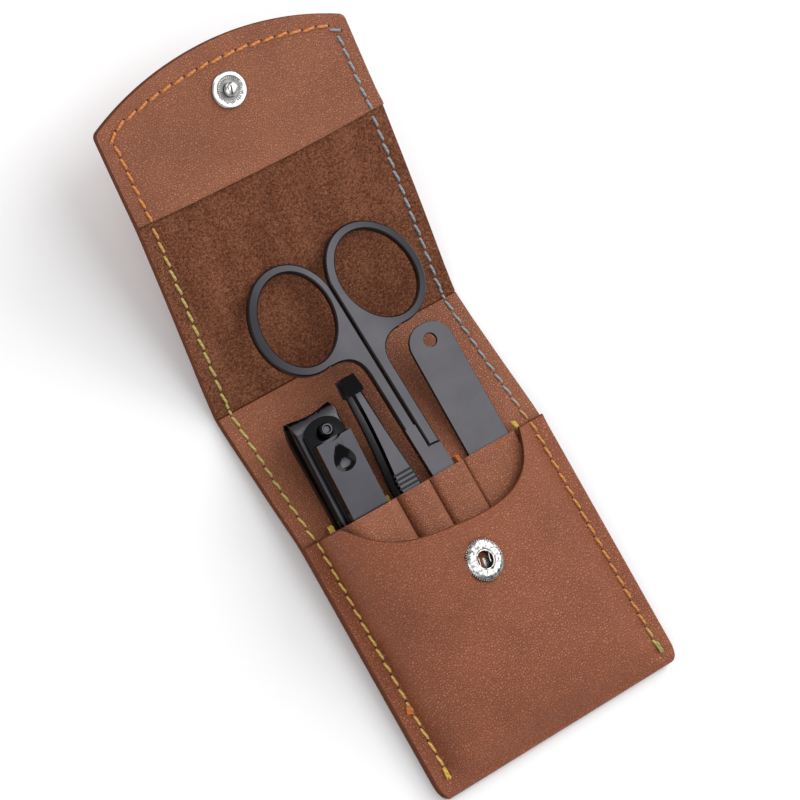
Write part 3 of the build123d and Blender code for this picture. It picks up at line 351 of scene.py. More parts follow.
def rounded_path():
    """Rows of s, y, z and slope along the strip: straight runs and arcs of a radius."""
    slopes = [math.atan2(b[1] - a[1], b[0] - a[0]) for a, b in zip(CORNERS, CORNERS[1:])]
    rows = [(0.0, *CORNERS[0], slopes[0])]
    for i, radius in enumerate(BENDS):
        (y, z), before, after = CORNERS[i + 1], slopes[i], slopes[i + 1]
        turn = after - before
        side = math.copysign(radius, turn)
        back = radius * math.tan(abs(turn) / 2)
        start = (y - back * math.cos(before), z - back * math.sin(before))
        for k in range(ARC_STEPS + 1):
            share = k / ARC_STEPS
            angle = before + turn * k / ARC_STEPS
            rows.append((MARKS[i + 1] + back * (2 * share - 1),
                         start[0] + side * (math.sin(angle) - math.sin(before)),
                         start[1] - side * (math.cos(angle) - math.cos(before)), angle))
    rows.append((TIP_S, *CORNERS[-1], slopes[-1]))
    return np.array(rows)


PATH = rounded_path()
print("path:", len(PATH), "rows")

# %% [markdown]
# A place on the strip is read off the path by its s. Past either end the strip
# goes straight on. The ends of two 10 mm stretches, where a strip of leather
# bends at the crease and at the flap's fold, are read off here too.

# %% Places on the strip
def matched(*values):
    return np.broadcast_arrays(*(np.asarray(value, float) for value in values))


def strip(x, s, h):
    """Points on the strip, in millimetres."""
    x, s, h = matched(x, s, h)
    y, z, slope = (np.interp(s, PATH[:, 0], PATH[:, k]) for k in (1, 2, 3))
    past = s - np.clip(s, PATH[0, 0], PATH[-1, 0])
    y, z = y + past * np.cos(slope), z + past * np.sin(slope)
    return np.stack([x, y - h * np.sin(slope), z + h * np.cos(slope)], -1)


def on_strip(s):
    """The middle of the strip's outside at s, in metres."""
    return tuple(strip(0, s, 0) * MM)


BEND_START, BEND_END = on_strip(99.0), on_strip(109.0)
FOLD_START, FOLD_END = on_strip(126.5), on_strip(136.5)
print("strip ends at", strip(0, TIP_S, 0).round(2))

# %% [markdown]
# Two things keep the sheets from looking ruled. The lower corners are tucked in
# where the fold gathers them, and the open part sways by a few tenths of a
# millimetre, but not at the crease, which holds it, nor under the tools.

# %% Tucked corners and a slow sway
TUCK, TUCK_S, TUCK_RUN, TUCK_X = 2.2, 3.0, 3.1 + FOLD_R, 28.0
FREE_S, FREE_RUN, CREASE_RUN = 70.0, 12.0, 8.0
SAG = 0.22
WAVES = ((0.16, 11.0, 17.0, 0.0), (0.12, 6.3, -9.0, 1.0))  # size, across, along, start


def tuck(x, s):
    """The two lower corners are rounded off."""
    bend = TUCK * (1 - np.sqrt(1 - np.clip((TUCK_S - s) / TUCK_RUN, 0, 1) ** 2))
    return x - np.sign(x) * bend * np.clip((abs(x) - TUCK_X) / (HALF - TUCK_X), 0, 1) ** 2


def sway(x, s):
    """Sheets this thin are never quite flat."""
    free = np.clip((s - FREE_S) / FREE_RUN, 0, 1) * np.clip(abs(s - CREASE_S) / CREASE_RUN, 0, 1)
    return -free * sum((size * np.sin(x / across + s / along + start)
                        for size, across, along, start in WAVES), SAG)


print("sway at the suede's middle:", round(float(sway(0.0, 130.0)), 2), "mm")

# %% [markdown]
# ## From grids to sheets
# Every piece is a mesh whose points are worked out in millimetres. Modifiers may
# finish it, and then the evaluated result is taken as a plain mesh, so that
# nothing is left to be worked out later. Faces that meet at less than an angle
# are shaded as one smooth surface.

# %% Meshes
def new_piece(name, data):
    piece = bpy.data.objects.new(name, data)
    bpy.context.scene.collection.objects.link(piece)
    return piece


def mesh_piece(name, points, faces, materials, face_materials=None):
    mesh = bpy.data.meshes.new(name)
    mesh.from_pydata([tuple(p) for p in (np.asarray(points) * MM).tolist()], [], faces)
    for material in materials:
        mesh.materials.append(material)
    if face_materials is not None:
        mesh.polygons.foreach_set("material_index", face_materials)
    return new_piece(name, mesh)


def settle(piece, smooth_below=40):
    """Turns a piece and its modifiers into a plain mesh, smooth below an angle in degrees."""
    bpy.context.view_layer.update()
    graph = bpy.context.evaluated_depsgraph_get()
    mesh = bpy.data.meshes.new_from_object(piece.evaluated_get(graph), depsgraph=graph)
    piece.modifiers.clear()
    old, piece.data = piece.data, mesh
    mesh.name = piece.name
    bpy.data.meshes.remove(old)
    if smooth_below:
        mesh.polygons.foreach_set("use_smooth", [True] * len(mesh.polygons))
        mesh.set_sharp_from_angle(angle=math.radians(smooth_below))
    mesh.update()
    return piece


print("mesh tools ready")

# %% [markdown]
# A sheet is a grid of points for its face, a second grid for its back, and a
# wall between them. The wall takes the edge finish, and a small bevel rounds it.

# %% Sheet maker
IS_FACE, IS_BACK, IS_WALL = 0, 1, 2


def slab(name, face, back, materials, round_edge, painted=0):
    """A closed sheet between two grids of points: face, back and wall materials.

    The face's last painted rows take the wall's material."""
    rows, cols = face.shape[:2]
    count = rows * cols
    at = lambda i, j: i * cols + j
    faces, kinds = [], []
    for i in range(rows - 1):
        for j in range(cols - 1):
            quad = [at(i, j), at(i, j + 1), at(i + 1, j + 1), at(i + 1, j)]
            faces.append(quad)
            faces.append([count + k for k in reversed(quad)])
            kinds += [IS_WALL if i >= rows - 1 - painted else IS_FACE, IS_BACK]
    ring = ([at(0, j) for j in range(cols)] + [at(i, cols - 1) for i in range(1, rows)]
            + [at(rows - 1, j) for j in range(cols - 2, -1, -1)]
            + [at(i, 0) for i in range(rows - 2, 0, -1)])
    for a, b in zip(ring, ring[1:] + ring[:1]):
        faces.append([b, a, count + a, count + b])
        kinds.append(IS_WALL)
    points = np.concatenate([face.reshape(-1, 3), back.reshape(-1, 3)])
    piece = mesh_piece(name, points, faces, materials, kinds)
    if round_edge:
        bevel = piece.modifiers.new("edge", "BEVEL")
        bevel.width, bevel.segments, bevel.material = round_edge * MM, 2, IS_WALL
        bevel.limit_method, bevel.angle_limit = "ANGLE", math.radians(50)
    return settle(piece)


print("a sheet has a face, a back and a wall")

# %% [markdown]
# The grid's columns are a millimetre apart, and closer at the two seams, where
# the tight thread pulls a narrow groove into the face.

# %% Columns and the seams' groove
SEAM_X = 31.4
NEAR_SEAM = (-0.9, -0.45, -0.2, 0.0, 0.2, 0.45, 0.9)
CLOSEST = 0.15
GROOVE, GROOVE_WIDTH = 0.16, 0.55


def columns(step):
    """Places across the case, step millimetres apart and closer near the seams."""
    xs = list(np.linspace(-HALF, HALF, int(2 * HALF / step) + 1))
    xs += [seam + offset for seam in (-SEAM_X, SEAM_X) for offset in NEAR_SEAM]
    xs = sorted(x for x in xs if -HALF <= x <= HALF)
    keep = [xs[0]]
    for x in xs[1:-1]:
        if x - keep[-1] > CLOSEST and xs[-1] - x > CLOSEST:
            keep.append(x)
    return np.array(keep + [xs[-1]])


def seam_groove(x, depth=GROOVE):
    return -depth * np.exp(-((abs(x) - SEAM_X) / GROOVE_WIDTH) ** 2)


print("columns:", len(columns(1.0)))

# %% [markdown]
# ## The pocket
# One sheet of leather makes the pocket. It starts at the curved mouth, runs down
# the padded front, turns round the bottom fold and comes back up behind. The
# front's height is measured on the CAD solid by dropping rays on it, so that the
# dressed leather and the solid agree.

# %% Measure the pocket's front
POCKET_SLOPE = math.atan2(CORNERS[1][1] - CORNERS[0][1], CORNERS[1][0] - CORNERS[0][0])
POCKET_UP = Vector((0, -math.sin(POCKET_SLOPE), math.cos(POCKET_SLOPE)))
POCKET_ALONG = Vector((0, math.cos(POCKET_SLOPE), math.sin(POCKET_SLOPE)))
POCKET_FOOT = Vector((0, *CORNERS[0]))
FRONT_EDGE, LEAST_FRONT, LOWEST_MOUTH = 3.2, 2.4, 48.0
RAY_START, HALVINGS = 40, 14

solid = frame["nodes"]["outer_leather_body"].data
solid.calc_loop_triangles()
leather_surface = BVHTree.FromPolygons([v.co.copy() for v in solid.vertices],
                                       [tuple(t.vertices) for t in solid.loop_triangles])


def on_pocket(x, s, h):
    """Points over the pocket's back, which is flat, in millimetres."""
    y, z = CORNERS[0]
    return np.stack([x, y + s * math.cos(POCKET_SLOPE) - h * math.sin(POCKET_SLOPE),
                     z + s * math.sin(POCKET_SLOPE) + h * math.cos(POCKET_SLOPE)], -1)


def front_height(x, s):
    """Height of the pocket's front above the back's outside, or 0 where it is cut away."""
    foot = Vector(on_pocket(x, s, 0.0))
    hit = leather_surface.ray_cast((foot + RAY_START * POCKET_UP) * MM, -POCKET_UP)[0]
    height = (hit / MM - foot).dot(POCKET_UP) if hit else 0.0
    return height if height > LEAST_FRONT else 0.0


def mouth_edge(x):
    """How far up the front reaches at x, found by halving."""
    low, high = LOWEST_MOUTH, MOUTH_S + 0.6
    for _ in range(HALVINGS):
        middle = (low + high) / 2
        low, high = (middle, high) if front_height(x, middle) else (low, middle)
    return low


JUST_INSIDE = HALF - 0.05
front_x = columns(0.9)
edge_x = np.clip(front_x, -JUST_INSIDE, JUST_INSIDE)
mouth = np.array([mouth_edge(x) for x in edge_x])
print("mouth dips to", mouth.min().round(1), "of", MOUTH_S)

# %% [markdown]
# The front is sampled on a grid. Its first rows shape the mouth's lip: each drops
# a little less, which rounds the cut edge. Under the snap the solid has a hole, so
# rays that would fall through it are moved out to the hole's rim, and the leather
# goes on below the socket instead of tearing.

# %% Sample the front
LIP = ((0.0, 0.30), (0.16, 0.10), (0.36, 0.02), (0.62, 0.0))  # from the mouth, drop
MOUTH_GAP, FRONT_ROWS = 0.04, 72
SOCKET_S, HOLE_R = 43.2, 3.4


def front_grid():
    """The front's columns and rows, its heights there, and the distance to the snap."""
    top = mouth - MOUTH_GAP
    s = np.array([top - down for down, _ in LIP]
                 + [(top - LIP[-1][0]) * k for k in np.linspace(1, 0, FRONT_ROWS)[1:]])
    x = np.broadcast_to(front_x, s.shape)
    from_snap = np.hypot(x, s - SOCKET_S)
    out = np.clip(HOLE_R / np.maximum(from_snap, 0.05), 1, None)  # 0.05: never by zero
    ask_x = np.clip(x * out, -JUST_INSIDE, JUST_INSIDE)
    ask_s = SOCKET_S + (s - SOCKET_S) * out
    heights = np.array([[front_height(float(a), float(b)) or FRONT_EDGE
                         for a, b in zip(row_x, row_s)] for row_x, row_s in zip(ask_x, ask_s)])
    return x, s, heights, from_snap


grid_x, grid_s, grid_h, from_snap = front_grid()
print("front:", grid_h.shape, "points, highest", grid_h.max().round(2))

# %% [markdown]
# The inside is that grid pushed in by the leather's thickness. Small ripples are
# pulled along the side seams by the thread, and the mouth flares a little from
# being opened.

# %% Shape of the front
STITCH_PITCH = 3.5
RIPPLE, RIPPLE_X, RIPPLE_WIDTH = 0.10, 29.6, 1.6
PADDED_S = 8.0
FLARE, FLARE_RUN = 0.35, 1.4
WELL, WELL_R = 0.95, 3.3
THIN_FRONT, PADDING = 1.1, 0.1


def front_outside():
    """Height of the front's outside, before the lip and the well under the snap."""
    ripple = (RIPPLE * np.sin(grid_s * 2 * math.pi / STITCH_PITCH)
              * np.exp(-((abs(grid_x) - RIPPLE_X) / RIPPLE_WIDTH) ** 2))
    full = np.array([front_height(float(x), PADDED_S) or FRONT_EDGE for x in edge_x])
    rise = np.sin(np.clip(grid_s / PADDED_S, 0, 1) * math.pi / 2)
    rounded = np.where(grid_s < PADDED_S, FRONT_EDGE + (full - FRONT_EDGE) * rise, 0)
    flare = FLARE * np.exp(-((mouth[None, :] - grid_s) / FLARE_RUN) ** 2)
    return np.maximum(grid_h, rounded) + seam_groove(grid_x) + ripple + flare


def front_sheet():
    """The front's outside and inside."""
    height = front_outside()
    lip = np.zeros_like(height)
    for row, (_, drop) in enumerate(LIP):
        lip[row] = drop
    well = WELL * np.clip(WELL_R - from_snap, 0, 1)
    thick = np.clip((grid_h - FRONT_EDGE) * 2, 0, 1) * PADDING + THIN_FRONT
    x = tuck(grid_x, grid_s)
    return on_pocket(x, grid_s, height - lip - well), on_pocket(x, grid_s, height - thick)


front, front_in = front_sheet()
print("front sheet:", front.shape[0] * front.shape[1], "points a side")

# %% [markdown]
# At the bottom the sheet folds in a half turn. The front, the fold and the back
# are one grid, laid end to end. It ends a little below the crease, where the
# next length of leather takes over.

# %% Pocket leather
BACK_END_S, BACK_ROWS = 92.0, 90
INNER_FOLD_R, BACK_GROOVE, BACK_GAP = 0.42, 0.12, 0.03


def half_turn(radius):
    """The bottom fold's rows, at a radius round its axis."""
    ones = np.ones_like(front_x)
    return np.array([on_pocket(tuck(front_x, -radius * math.sin(t) * ones),
                               -radius * math.sin(t) * ones, FOLD_R + radius * math.cos(t) * ones)
                     for t in np.linspace(0, math.pi, ARC_STEPS + 1)[1:-1]])


def pocket_leather():
    x, s = np.meshgrid(front_x, np.linspace(0.0, BACK_END_S, BACK_ROWS))
    lift = sway(x, s)
    back = strip(tuck(x, s), s, lift - seam_groove(x, BACK_GROOVE))
    back_in = strip(tuck(x, s), s, lift + LEATHER - BACK_GAP)
    face = np.concatenate([front, half_turn(FOLD_R), back])
    lining_side = np.concatenate([front_in, half_turn(INNER_FOLD_R), back_in])
    return slab("pocket_leather", face[::-1], lining_side[::-1],
                [outer_leather, suede_nap, edge_paint], 0.14, painted=2)


pocket = pocket_leather()
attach(pocket, "case")
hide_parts("outer_leather_body")
print("pocket leather:", len(pocket.data.vertices), "points")

# %% [markdown]
# ## The flap
# The same leather goes on past a crease as the flap, and the flap folds in
# half to close. Its tip is a shallow arc between two rounded corners.

# %% Outline of the flap's tip
ARC_R = (HALF ** 2 + (TIP_S - CORNER_S) ** 2) / (2 * (TIP_S - CORNER_S))
CORNER_R = 2.0


def tip_edge(x):
    """How far the flap reaches at x: a shallow arc with rounded corners."""
    x = np.abs(np.asarray(x, float))
    arc = TIP_S - (ARC_R - np.sqrt(ARC_R ** 2 - x ** 2))
    slope = HALF / math.sqrt(ARC_R ** 2 - HALF ** 2)
    middle_x = HALF - CORNER_R
    middle_s = CORNER_S + slope * CORNER_R - CORNER_R * math.hypot(1, slope)
    corner = middle_s + np.sqrt(np.clip(CORNER_R ** 2 - (x - middle_x) ** 2, 0, None))
    begins = middle_x + CORNER_R * slope / math.hypot(1, slope)
    return np.where(x > begins, corner, arc)


print("the flap reaches s =", tip_edge(0.0).round(1), "and at its sides", tip_edge(HALF).round(1))

# %% [markdown]
# All the other sheets lie between two places along the strip and two heights
# above it, so one function makes them. An end may be a curve, and then a few
# more columns near the sides follow the rounded corners.

# %% Sheets between two heights
SHEET_STEP = 1.0
CORNER_COLUMNS = [HALF - inward for inward in (1.6, 1.2, 0.9, 0.6, 0.35, 0.15)]


def sheet_between(name, start, end, low, high, materials, lift=None, round_edge=0.22):
    """A sheet from s = start to end, where either may follow x, between two heights."""
    x = columns(SHEET_STEP)
    if callable(end):
        x = np.array(sorted({*x.round(3), *CORNER_COLUMNS, *(-c for c in CORNER_COLUMNS)}))
    begin = start(x) if callable(start) else np.full_like(x, start)
    finish = end(x) if callable(end) else np.full_like(x, end)
    count = int((finish.max() - begin.min()) / SHEET_STEP) + 2
    s = begin + (finish - begin) * np.linspace(0, 1, count)[:, None]
    x = np.broadcast_to(x, s.shape)
    raise_by = sway(x, s) + (lift(x, s) if lift else 0.0)
    return slab(name, strip(tuck(x, s), s, high + raise_by + seam_groove(x)),
                strip(tuck(x, s), s, low + raise_by), materials, round_edge)


print("sheets follow", len(CORNER_COLUMNS), "more columns at a rounded corner")

# %% [markdown]
# Two lengths of leather cross the bends.

# %% Leather behind the crease and the flap
STRIP_END_S = 117.0
rough_side_up = [suede_nap, outer_leather, edge_paint]
crease_strip = sheet_between("crease_leather_strip", BACK_END_S, STRIP_END_S, 0.0, LEATHER,
                             rough_side_up, round_edge=0)
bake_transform(crease_strip)
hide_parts("crease_leather")
flap_leather = sheet_between("flap_leather", STRIP_END_S, tip_edge, 0.0, LEATHER, rough_side_up)
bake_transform(flap_leather)
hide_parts("flap_panel_leather", "fold_leather", "flap_tip_leather")
print("flap leather:", len(flap_leather.data.polygons), "faces")

# %% [markdown]
# ## Linings
# Inside, the pocket and the panel behind the tools are lined with fine leather,
# the flap with suede, and the flap's tip is faced with fine leather again. The
# facing's lower edge is simply cut and laid over the suede, where it lifts.

# %% Panel lining, suede and facing
OVERLAP, OVERLAP_LIFT, OVERLAP_RUN = 2.0, 0.62, 2.6
LINING_START, SUEDE_GAP, FACING_INSET = 0.3, 0.15, 0.12
EDGE_BOW = 0.7


def facing_start(x):
    """Where the facing's cut edge lies at x: it bows up a little at the sides."""
    return FACING_S - EDGE_BOW / 2 + EDGE_BOW * (np.asarray(x) / HALF) ** 2


def over_suede(x, s):
    """The facing's first millimetres lie on the suede and lift a little."""
    past = s - facing_start(x)
    return OVERLAP_LIFT * np.exp(-(np.clip(past, 0, None) / OVERLAP_RUN) ** 2)


panel_lining = sheet_between("panel_lining", LINING_START, CREASE_S, LEATHER, LEATHER + LINING,
                             [lining_leather, suede_nap, edge_paint])
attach(panel_lining, "case")
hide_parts("inner_panel")
suede_lining = sheet_between("suede_lining", CREASE_S + SUEDE_GAP,
                             lambda x: facing_start(x) + OVERLAP, LEATHER, LEATHER + LINING,
                             [suede_nap, suede_nap, edge_paint])
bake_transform(suede_lining)
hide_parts("flap_panel_suede", "crease_suede", "fold_suede", "flap_tip_suede")
facing = sheet_between("flap_facing_leather", facing_start,
                       lambda x: tip_edge(x) - FACING_INSET, LEATHER, LEATHER + FACING,
                       [lining_leather, suede_nap, edge_paint], lift=over_suede)
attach(facing, "flap_tip")
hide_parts("flap_facing")
print("linings:", [p.name for p in (panel_lining, suede_lining, facing)])

# %% [markdown]
# ## Stitches
# A seam repeats one shape along a path, which is what Geometry Nodes are for.
# Two trees are needed here, one along a line and one round a circle. Both begin
# with named inputs and end the same way: a shape goes on each point, the copies
# are made real, because an export drops instances, and they get their finish.

# %% What every tree begins and ends with
def new_tree(name, *inputs):
    """A tree's graph, and a way to ask for its inputs. Each input: name, kind, default."""
    tree = bpy.data.node_groups.new(name, "GeometryNodeTree")
    add_socket = tree.interface.new_socket
    add_socket("Geometry", in_out="INPUT", socket_type="NodeSocketGeometry")
    for label, kind, *default in inputs:
        socket = add_socket(label, in_out="INPUT", socket_type="NodeSocket" + kind)
        if default:
            socket.default_value = default[0]
    add_socket("Geometry", in_out="OUTPUT", socket_type="NodeSocketGeometry")
    given = tree.nodes.new("NodeGroupInput")
    g = Graph(tree)
    return g, lambda label: Value(g, given.outputs[label])


def chance(g, low, high, seed):
    return g.add("FunctionNodeRandomValue", {"data_type": "FLOAT"},
                 {2: low, 3: high, "Seed": seed}, out=1)


def place_shapes(g, ask, points, turn, size):
    """Ends a tree with its shape on each point, made real and finished."""
    shape = g.add("GeometryNodeObjectInfo", {"transform_space": "ORIGINAL"},
                  {"Object": ask("Shape")}, out="Geometry")
    row = g.add("GeometryNodeInstanceOnPoints", None, {
        "Points": points, "Instance": shape, "Rotation": turn, "Scale": size})
    real = g.add("GeometryNodeRealizeInstances", None, {"Geometry": row})
    done = g.add("GeometryNodeSetMaterial", None, {"Geometry": real, "Material": ask("Finish")})
    g.feed(g.tree.nodes.new("NodeGroupOutput").inputs["Geometry"], done)
    return g.tree


def run_tree(piece, tree, **given):
    """Gives a piece its node tree, then makes a plain mesh of the result."""
    modifier = piece.modifiers.new("nodes", "NODES")
    modifier.node_group = tree
    sockets = {item.name: item.identifier for item in tree.interface.items_tree
               if item.item_type == "SOCKET" and item.in_out == "INPUT"}
    for name, value in given.items():
        modifier[sockets[name]] = value
    return settle(piece, 60)


print("trees can be started, ended and run")

# %% [markdown]
# The seam's path is a curve over the sheets. It is resampled at the stitch
# pitch, and one stitch is placed on each point along the path's direction. A
# fixed seed gives each a little turn and length of its own, as a machine's
# tension does.

# %% One tree for all seams
def seam_tree():
    g, ask = new_tree("stitches_along_path", ("Pitch", "Float", STITCH_PITCH),
                      ("Length", "Float", 3.35), ("Thickness", "Float", 0.70),
                      ("Slant", "Float", 0.1), ("Shape", "Object"), ("Finish", "Material"),
                      ("Seed", "Int", 3))
    curve = g.add("GeometryNodeMeshToCurve", None, {"Mesh": ask("Geometry")})
    points = g.add("GeometryNodeResampleCurve", {"mode": "LENGTH"},
                   {"Curve": curve, "Length": ask("Pitch") * MM})
    tangent = g.add("GeometryNodeInputTangent")
    up = g.add("GeometryNodeInputNamedAttribute", {"data_type": "FLOAT_VECTOR"}, {"Name": "up"})
    lie = g.add("FunctionNodeAlignRotationToVector", {"axis": "X"}, {"Vector": tangent})
    stand = g.add("FunctionNodeAlignRotationToVector", {"axis": "Z", "pivot_axis": "X"},
                  {"Rotation": lie, "Vector": up})
    slant = ask("Slant") + chance(g, -0.05, 0.05, ask("Seed") + 0)
    turn = g.add("FunctionNodeRotateRotation", {"rotation_space": "LOCAL"}, {
        "Rotation": stand, "Rotate By": g.add("ShaderNodeCombineXYZ", None, {"Z": slant})})
    size = g.add("ShaderNodeCombineXYZ", None, {
        "X": ask("Length") * MM * chance(g, 0.94, 1.05, ask("Seed") + 7),
        "Y": ask("Thickness") * MM,
        "Z": ask("Thickness") * MM * chance(g, 0.85, 1.1, ask("Seed") + 11)})
    return place_shapes(g, ask, points, turn, size)


stitch_tree = seam_tree()
print("stitch tree:", len(stitch_tree.nodes), "nodes")

# %% [markdown]
# One stitch is a short arch of thread. Both ends dive into the needle's holes.
# It is unit sized, one long and one thick, so that the tree can scale it. The
# needle's hole is a low dark cap just past each end, which paints the hole's shade.

# %% One stitch and one hole
def tube_faces(rings, sides):
    """The faces of a closed tube whose points run ring by ring."""
    faces = []
    for i in range(rings - 1):
        for k in range(sides):
            a, b = i * sides + k, i * sides + (k + 1) % sides
            faces.append([a, b, b + sides, a + sides])
    return faces + [list(range(sides))[::-1], [(rings - 1) * sides + k for k in range(sides)]]


def circle(sides):
    return [(math.cos(2 * math.pi * k / sides), math.sin(2 * math.pi * k / sides))
            for k in range(sides)]


def stitch_shape():
    """An arch that swells in the middle and dives at both ends."""
    sides, rings = 7, 7
    points = []
    for i in range(rings):
        t = i / (rings - 1) * 2 - 1
        swell = (1 - abs(t) ** 7 * 0.7) * 0.5
        rise = 0.52 * (1 - t ** 6) - 0.30 * abs(t) ** 9
        points += [(0.5 * t, swell * c, rise - 0.25 + swell * d) for c, d in circle(sides)]
    return mesh_piece("one_stitch", np.array(points) / MM, tube_faces(rings, sides), [])


def hole_shape():
    """A low cap with straight walls, just past the stitch's end."""
    sides = 8
    rim = [(0.5 + 0.085 * c, 0.45 * d) for c, d in circle(sides)]
    points = [(x, y, z) for z in (0.0, -0.5) for x, y in rim] + [(0.5, 0, 0.14)]
    faces = [[k, (k + 1) % sides, 2 * sides] for k in range(sides)]
    faces += [[k, k + sides, (k + 1) % sides + sides, (k + 1) % sides] for k in range(sides)]
    faces.append([k + sides for k in reversed(range(sides))])
    return mesh_piece("one_hole", np.array(points) / MM, faces, [])


one_stitch, one_hole = stitch_shape(), hole_shape()
print("one stitch has", len(one_stitch.data.polygons), "faces")

# %% [markdown]
# The thread changes colour along the case, because it is variegated: gold on
# the pocket, blue-grey up the right side, orange round the tip and down the
# left side, then olive. Two ramps read the place along the case and across it.
# Every thread is twisted, and a diagonal wave darkens it between its plies.

# %% Threads
CASE_FOOT, CASE_LENGTH, CASE_WIDTH = -0.09, 0.18, 0.07
blue, orange, gold = (0.290, 0.330, 0.370), (0.720, 0.240, 0.045), (0.800, 0.520, 0.120)
olive, rust, dark_orange = (0.520, 0.440, 0.120), (0.62, 0.27, 0.05), (0.62, 0.24, 0.045)


def variegated(f):
    """The thread's tone by its place on the case, which is metres on the object."""
    x, y, _ = f.axes(f.object)
    along = (y - CASE_FOOT) / CASE_LENGTH
    right = f.ramp(along, (0.035, olive), (0.06, dark_orange), (0.37, rust), (0.42, blue))
    left = f.ramp(along, (0.0, gold), (0.30, gold), (0.46, olive), (0.76, olive), (0.84, orange))
    side = f.ramp(x / CASE_WIDTH + 0.5, (0.91, (0, 0, 0)), (0.93, (1, 1, 1)))
    return f.mix(side, left, right)


def thread(name, colour, between):
    """Twisted thread in a colour, or a way to make one, and darker between its plies."""
    f = Finish(name, Roughness=0.6, Specular_IOR_Level=0.35, Sheen_Weight=0.2)
    plies = f.add("ShaderNodeTexWave", {"bands_direction": "DIAGONAL"},
                  {"Vector": f.object, "Scale": 420.0, "Distortion": 1.0}, out="Fac")
    tone = colour(f) if callable(colour) else colour
    f.set(Base_Color=f.mix((1 - plies) * 0.35, tone, between), Normal=f.bump(plies, 0.06))
    return f.material


def plain_thread(name, colour):
    return thread(name, colour, tuple(0.3 * c for c in colour))


thread_finish = thread("variegated_thread", variegated, (0.10, 0.07, 0.05))
gold_thread = plain_thread("gold_thread", (0.760, 0.500, 0.080))
orange_thread = plain_thread("orange_thread", (0.720, 0.190, 0.030))
olive_thread = plain_thread("olive_thread", (0.420, 0.380, 0.120))
# The needle holes' dark finish is painted shade inside the holes.
stitch_hole_shade = Finish("needle_hole", Base_Color=(0.055, 0.018, 0.008, 1.0), Roughness=0.9).material
print("threads:", thread_finish.name, gold_thread.name, orange_thread.name, olive_thread.name)

# %% [markdown]
# A row of stitches needs a path and, at each of its points, the direction away
# from the leather, so that no stitch rolls over. The path lies on whatever is
# sewn there: the pocket's front, the lining or the facing, or the outside.

# %% A path over the sheets
OUTSIDE_SINK, GROOVE_SHARE = 0.02, 0.8


def path_piece(name, points, ups):
    mesh = bpy.data.meshes.new(name)
    mesh.from_pydata([tuple(p) for p in (points * MM).tolist()],
                     [(i, i + 1) for i in range(len(points) - 1)], [])
    mesh.attributes.new("up", "FLOAT_VECTOR", "POINT").data.foreach_set(
        "vector", np.asarray(ups, np.float32).ravel())
    return new_piece(name, mesh)


def seam_height(x, s, side):
    """Height of the stitched face at a point: inside (side 1) or outside (side -1)."""
    x, s = matched(x, s)
    if side < 0:
        return sway(x, s) - OUTSIDE_SINK
    on_front = s < MOUTH_S
    front = np.array([front_height(float(a), float(b)) if sewn_on_front else 0
                      for a, b, sewn_on_front in zip(x, s, on_front)])
    height = np.where(on_front, np.maximum(front, FRONT_EDGE), LEATHER + LINING)
    height = np.where(s > facing_start(x), LEATHER + FACING + over_suede(x, s), height)
    return height + np.where(on_front, 0.0, sway(x, s)) + seam_groove(SEAM_X) * GROOVE_SHARE


print("the side seam lies", seam_height([SEAM_X] * 2, [40.0, 90.0], 1).round(2), "mm high")

# %% [markdown]
# The machine fits a whole number of stitches to each run, so the pitch is
# rounded to the run's length. The thread and the needle's holes are made by the
# same tree from two shapes, then joined.

# %% Rows of stitches
SLANT, LINE_STEP = 0.15, 0.7
THREAD_SHARE, LONGEST_STITCH = 0.985, 3.6
JUST_LESS = 0.999  # so that rounding never drops a row's last stitch


def line(start, end):
    return np.linspace(start, end, int(abs(end - start) / LINE_STEP) + 2)


def joined(name, pieces):
    with bpy.context.temp_override(active_object=pieces[0], selected_editable_objects=pieces):
        bpy.ops.object.join()
    pieces[0].name = pieces[0].data.name = name
    return pieces[0]


def seam_row(name, x, s, side, seed, pitch=STITCH_PITCH, lift=0.0):
    """Stitches and needle holes along points of the strip."""
    x, s = matched(x, s)
    h = seam_height(x, s, side) + lift * side
    points, above = strip(x, s, h), strip(x, s, h + side)
    length = np.linalg.norm(np.diff(points, axis=0), axis=1).sum()
    step = length / max(round(length / pitch), 1)
    parts = []
    for kind, shape, finish, share in (("thread", one_stitch, thread_finish, THREAD_SHARE),
                                       ("holes", one_hole, stitch_hole_shade, 1.0)):
        piece = path_piece(f"{name}_{kind}", points, above - points)
        parts.append(run_tree(piece, stitch_tree, Pitch=JUST_LESS * step, Slant=SLANT * side,
                              Length=share * min(step, LONGEST_STITCH), Shape=shape,
                              Finish=finish, Seed=seed))
    return joined(name, parts)


def edge_rows(face, side, *runs):
    """The same rows along both edges. Each run: label, from s, to s, seed, pitch."""
    return [seam_row(f"{label}_{hand}_{face}", x, line(start, end), side, *how)
            for x, hand in ((-SEAM_X, "left"), (SEAM_X, "right"))
            for label, start, end, *how in runs]


print("a seam row is ready to be sewn")

# %% [markdown]
# The seams run 3.6 mm inside the sides, up the pocket and the panel. The same
# thread shows inside and outside. Each body needs a piece of its own, and the
# two stitches that cross the crease are a piece of their own.

# %% Case seams
for side, face in ((1, "inside"), (-1, "outside")):
    row = joined(f"case_stitches_{face}", edge_rows(
        face, side, ("row", 4.0, 64.6, 5 + side), ("panel", 68.2, 101.0, 9 + side)))
    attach(row, "case")
    print(row.name, len(row.data.polygons), "faces")
    row = joined(f"crease_stitches_{face}", edge_rows(
        face, side, ("crease", 104.4, 106.4, 2, 9)))
    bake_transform(row)
    print(row.name, len(row.data.polygons), "faces")

# %% [markdown]
# On the flap the seams go on up both sides and meet in an arc round the tip. A
# few points give the arc, evened out by length, as a sewn line wanders a little.

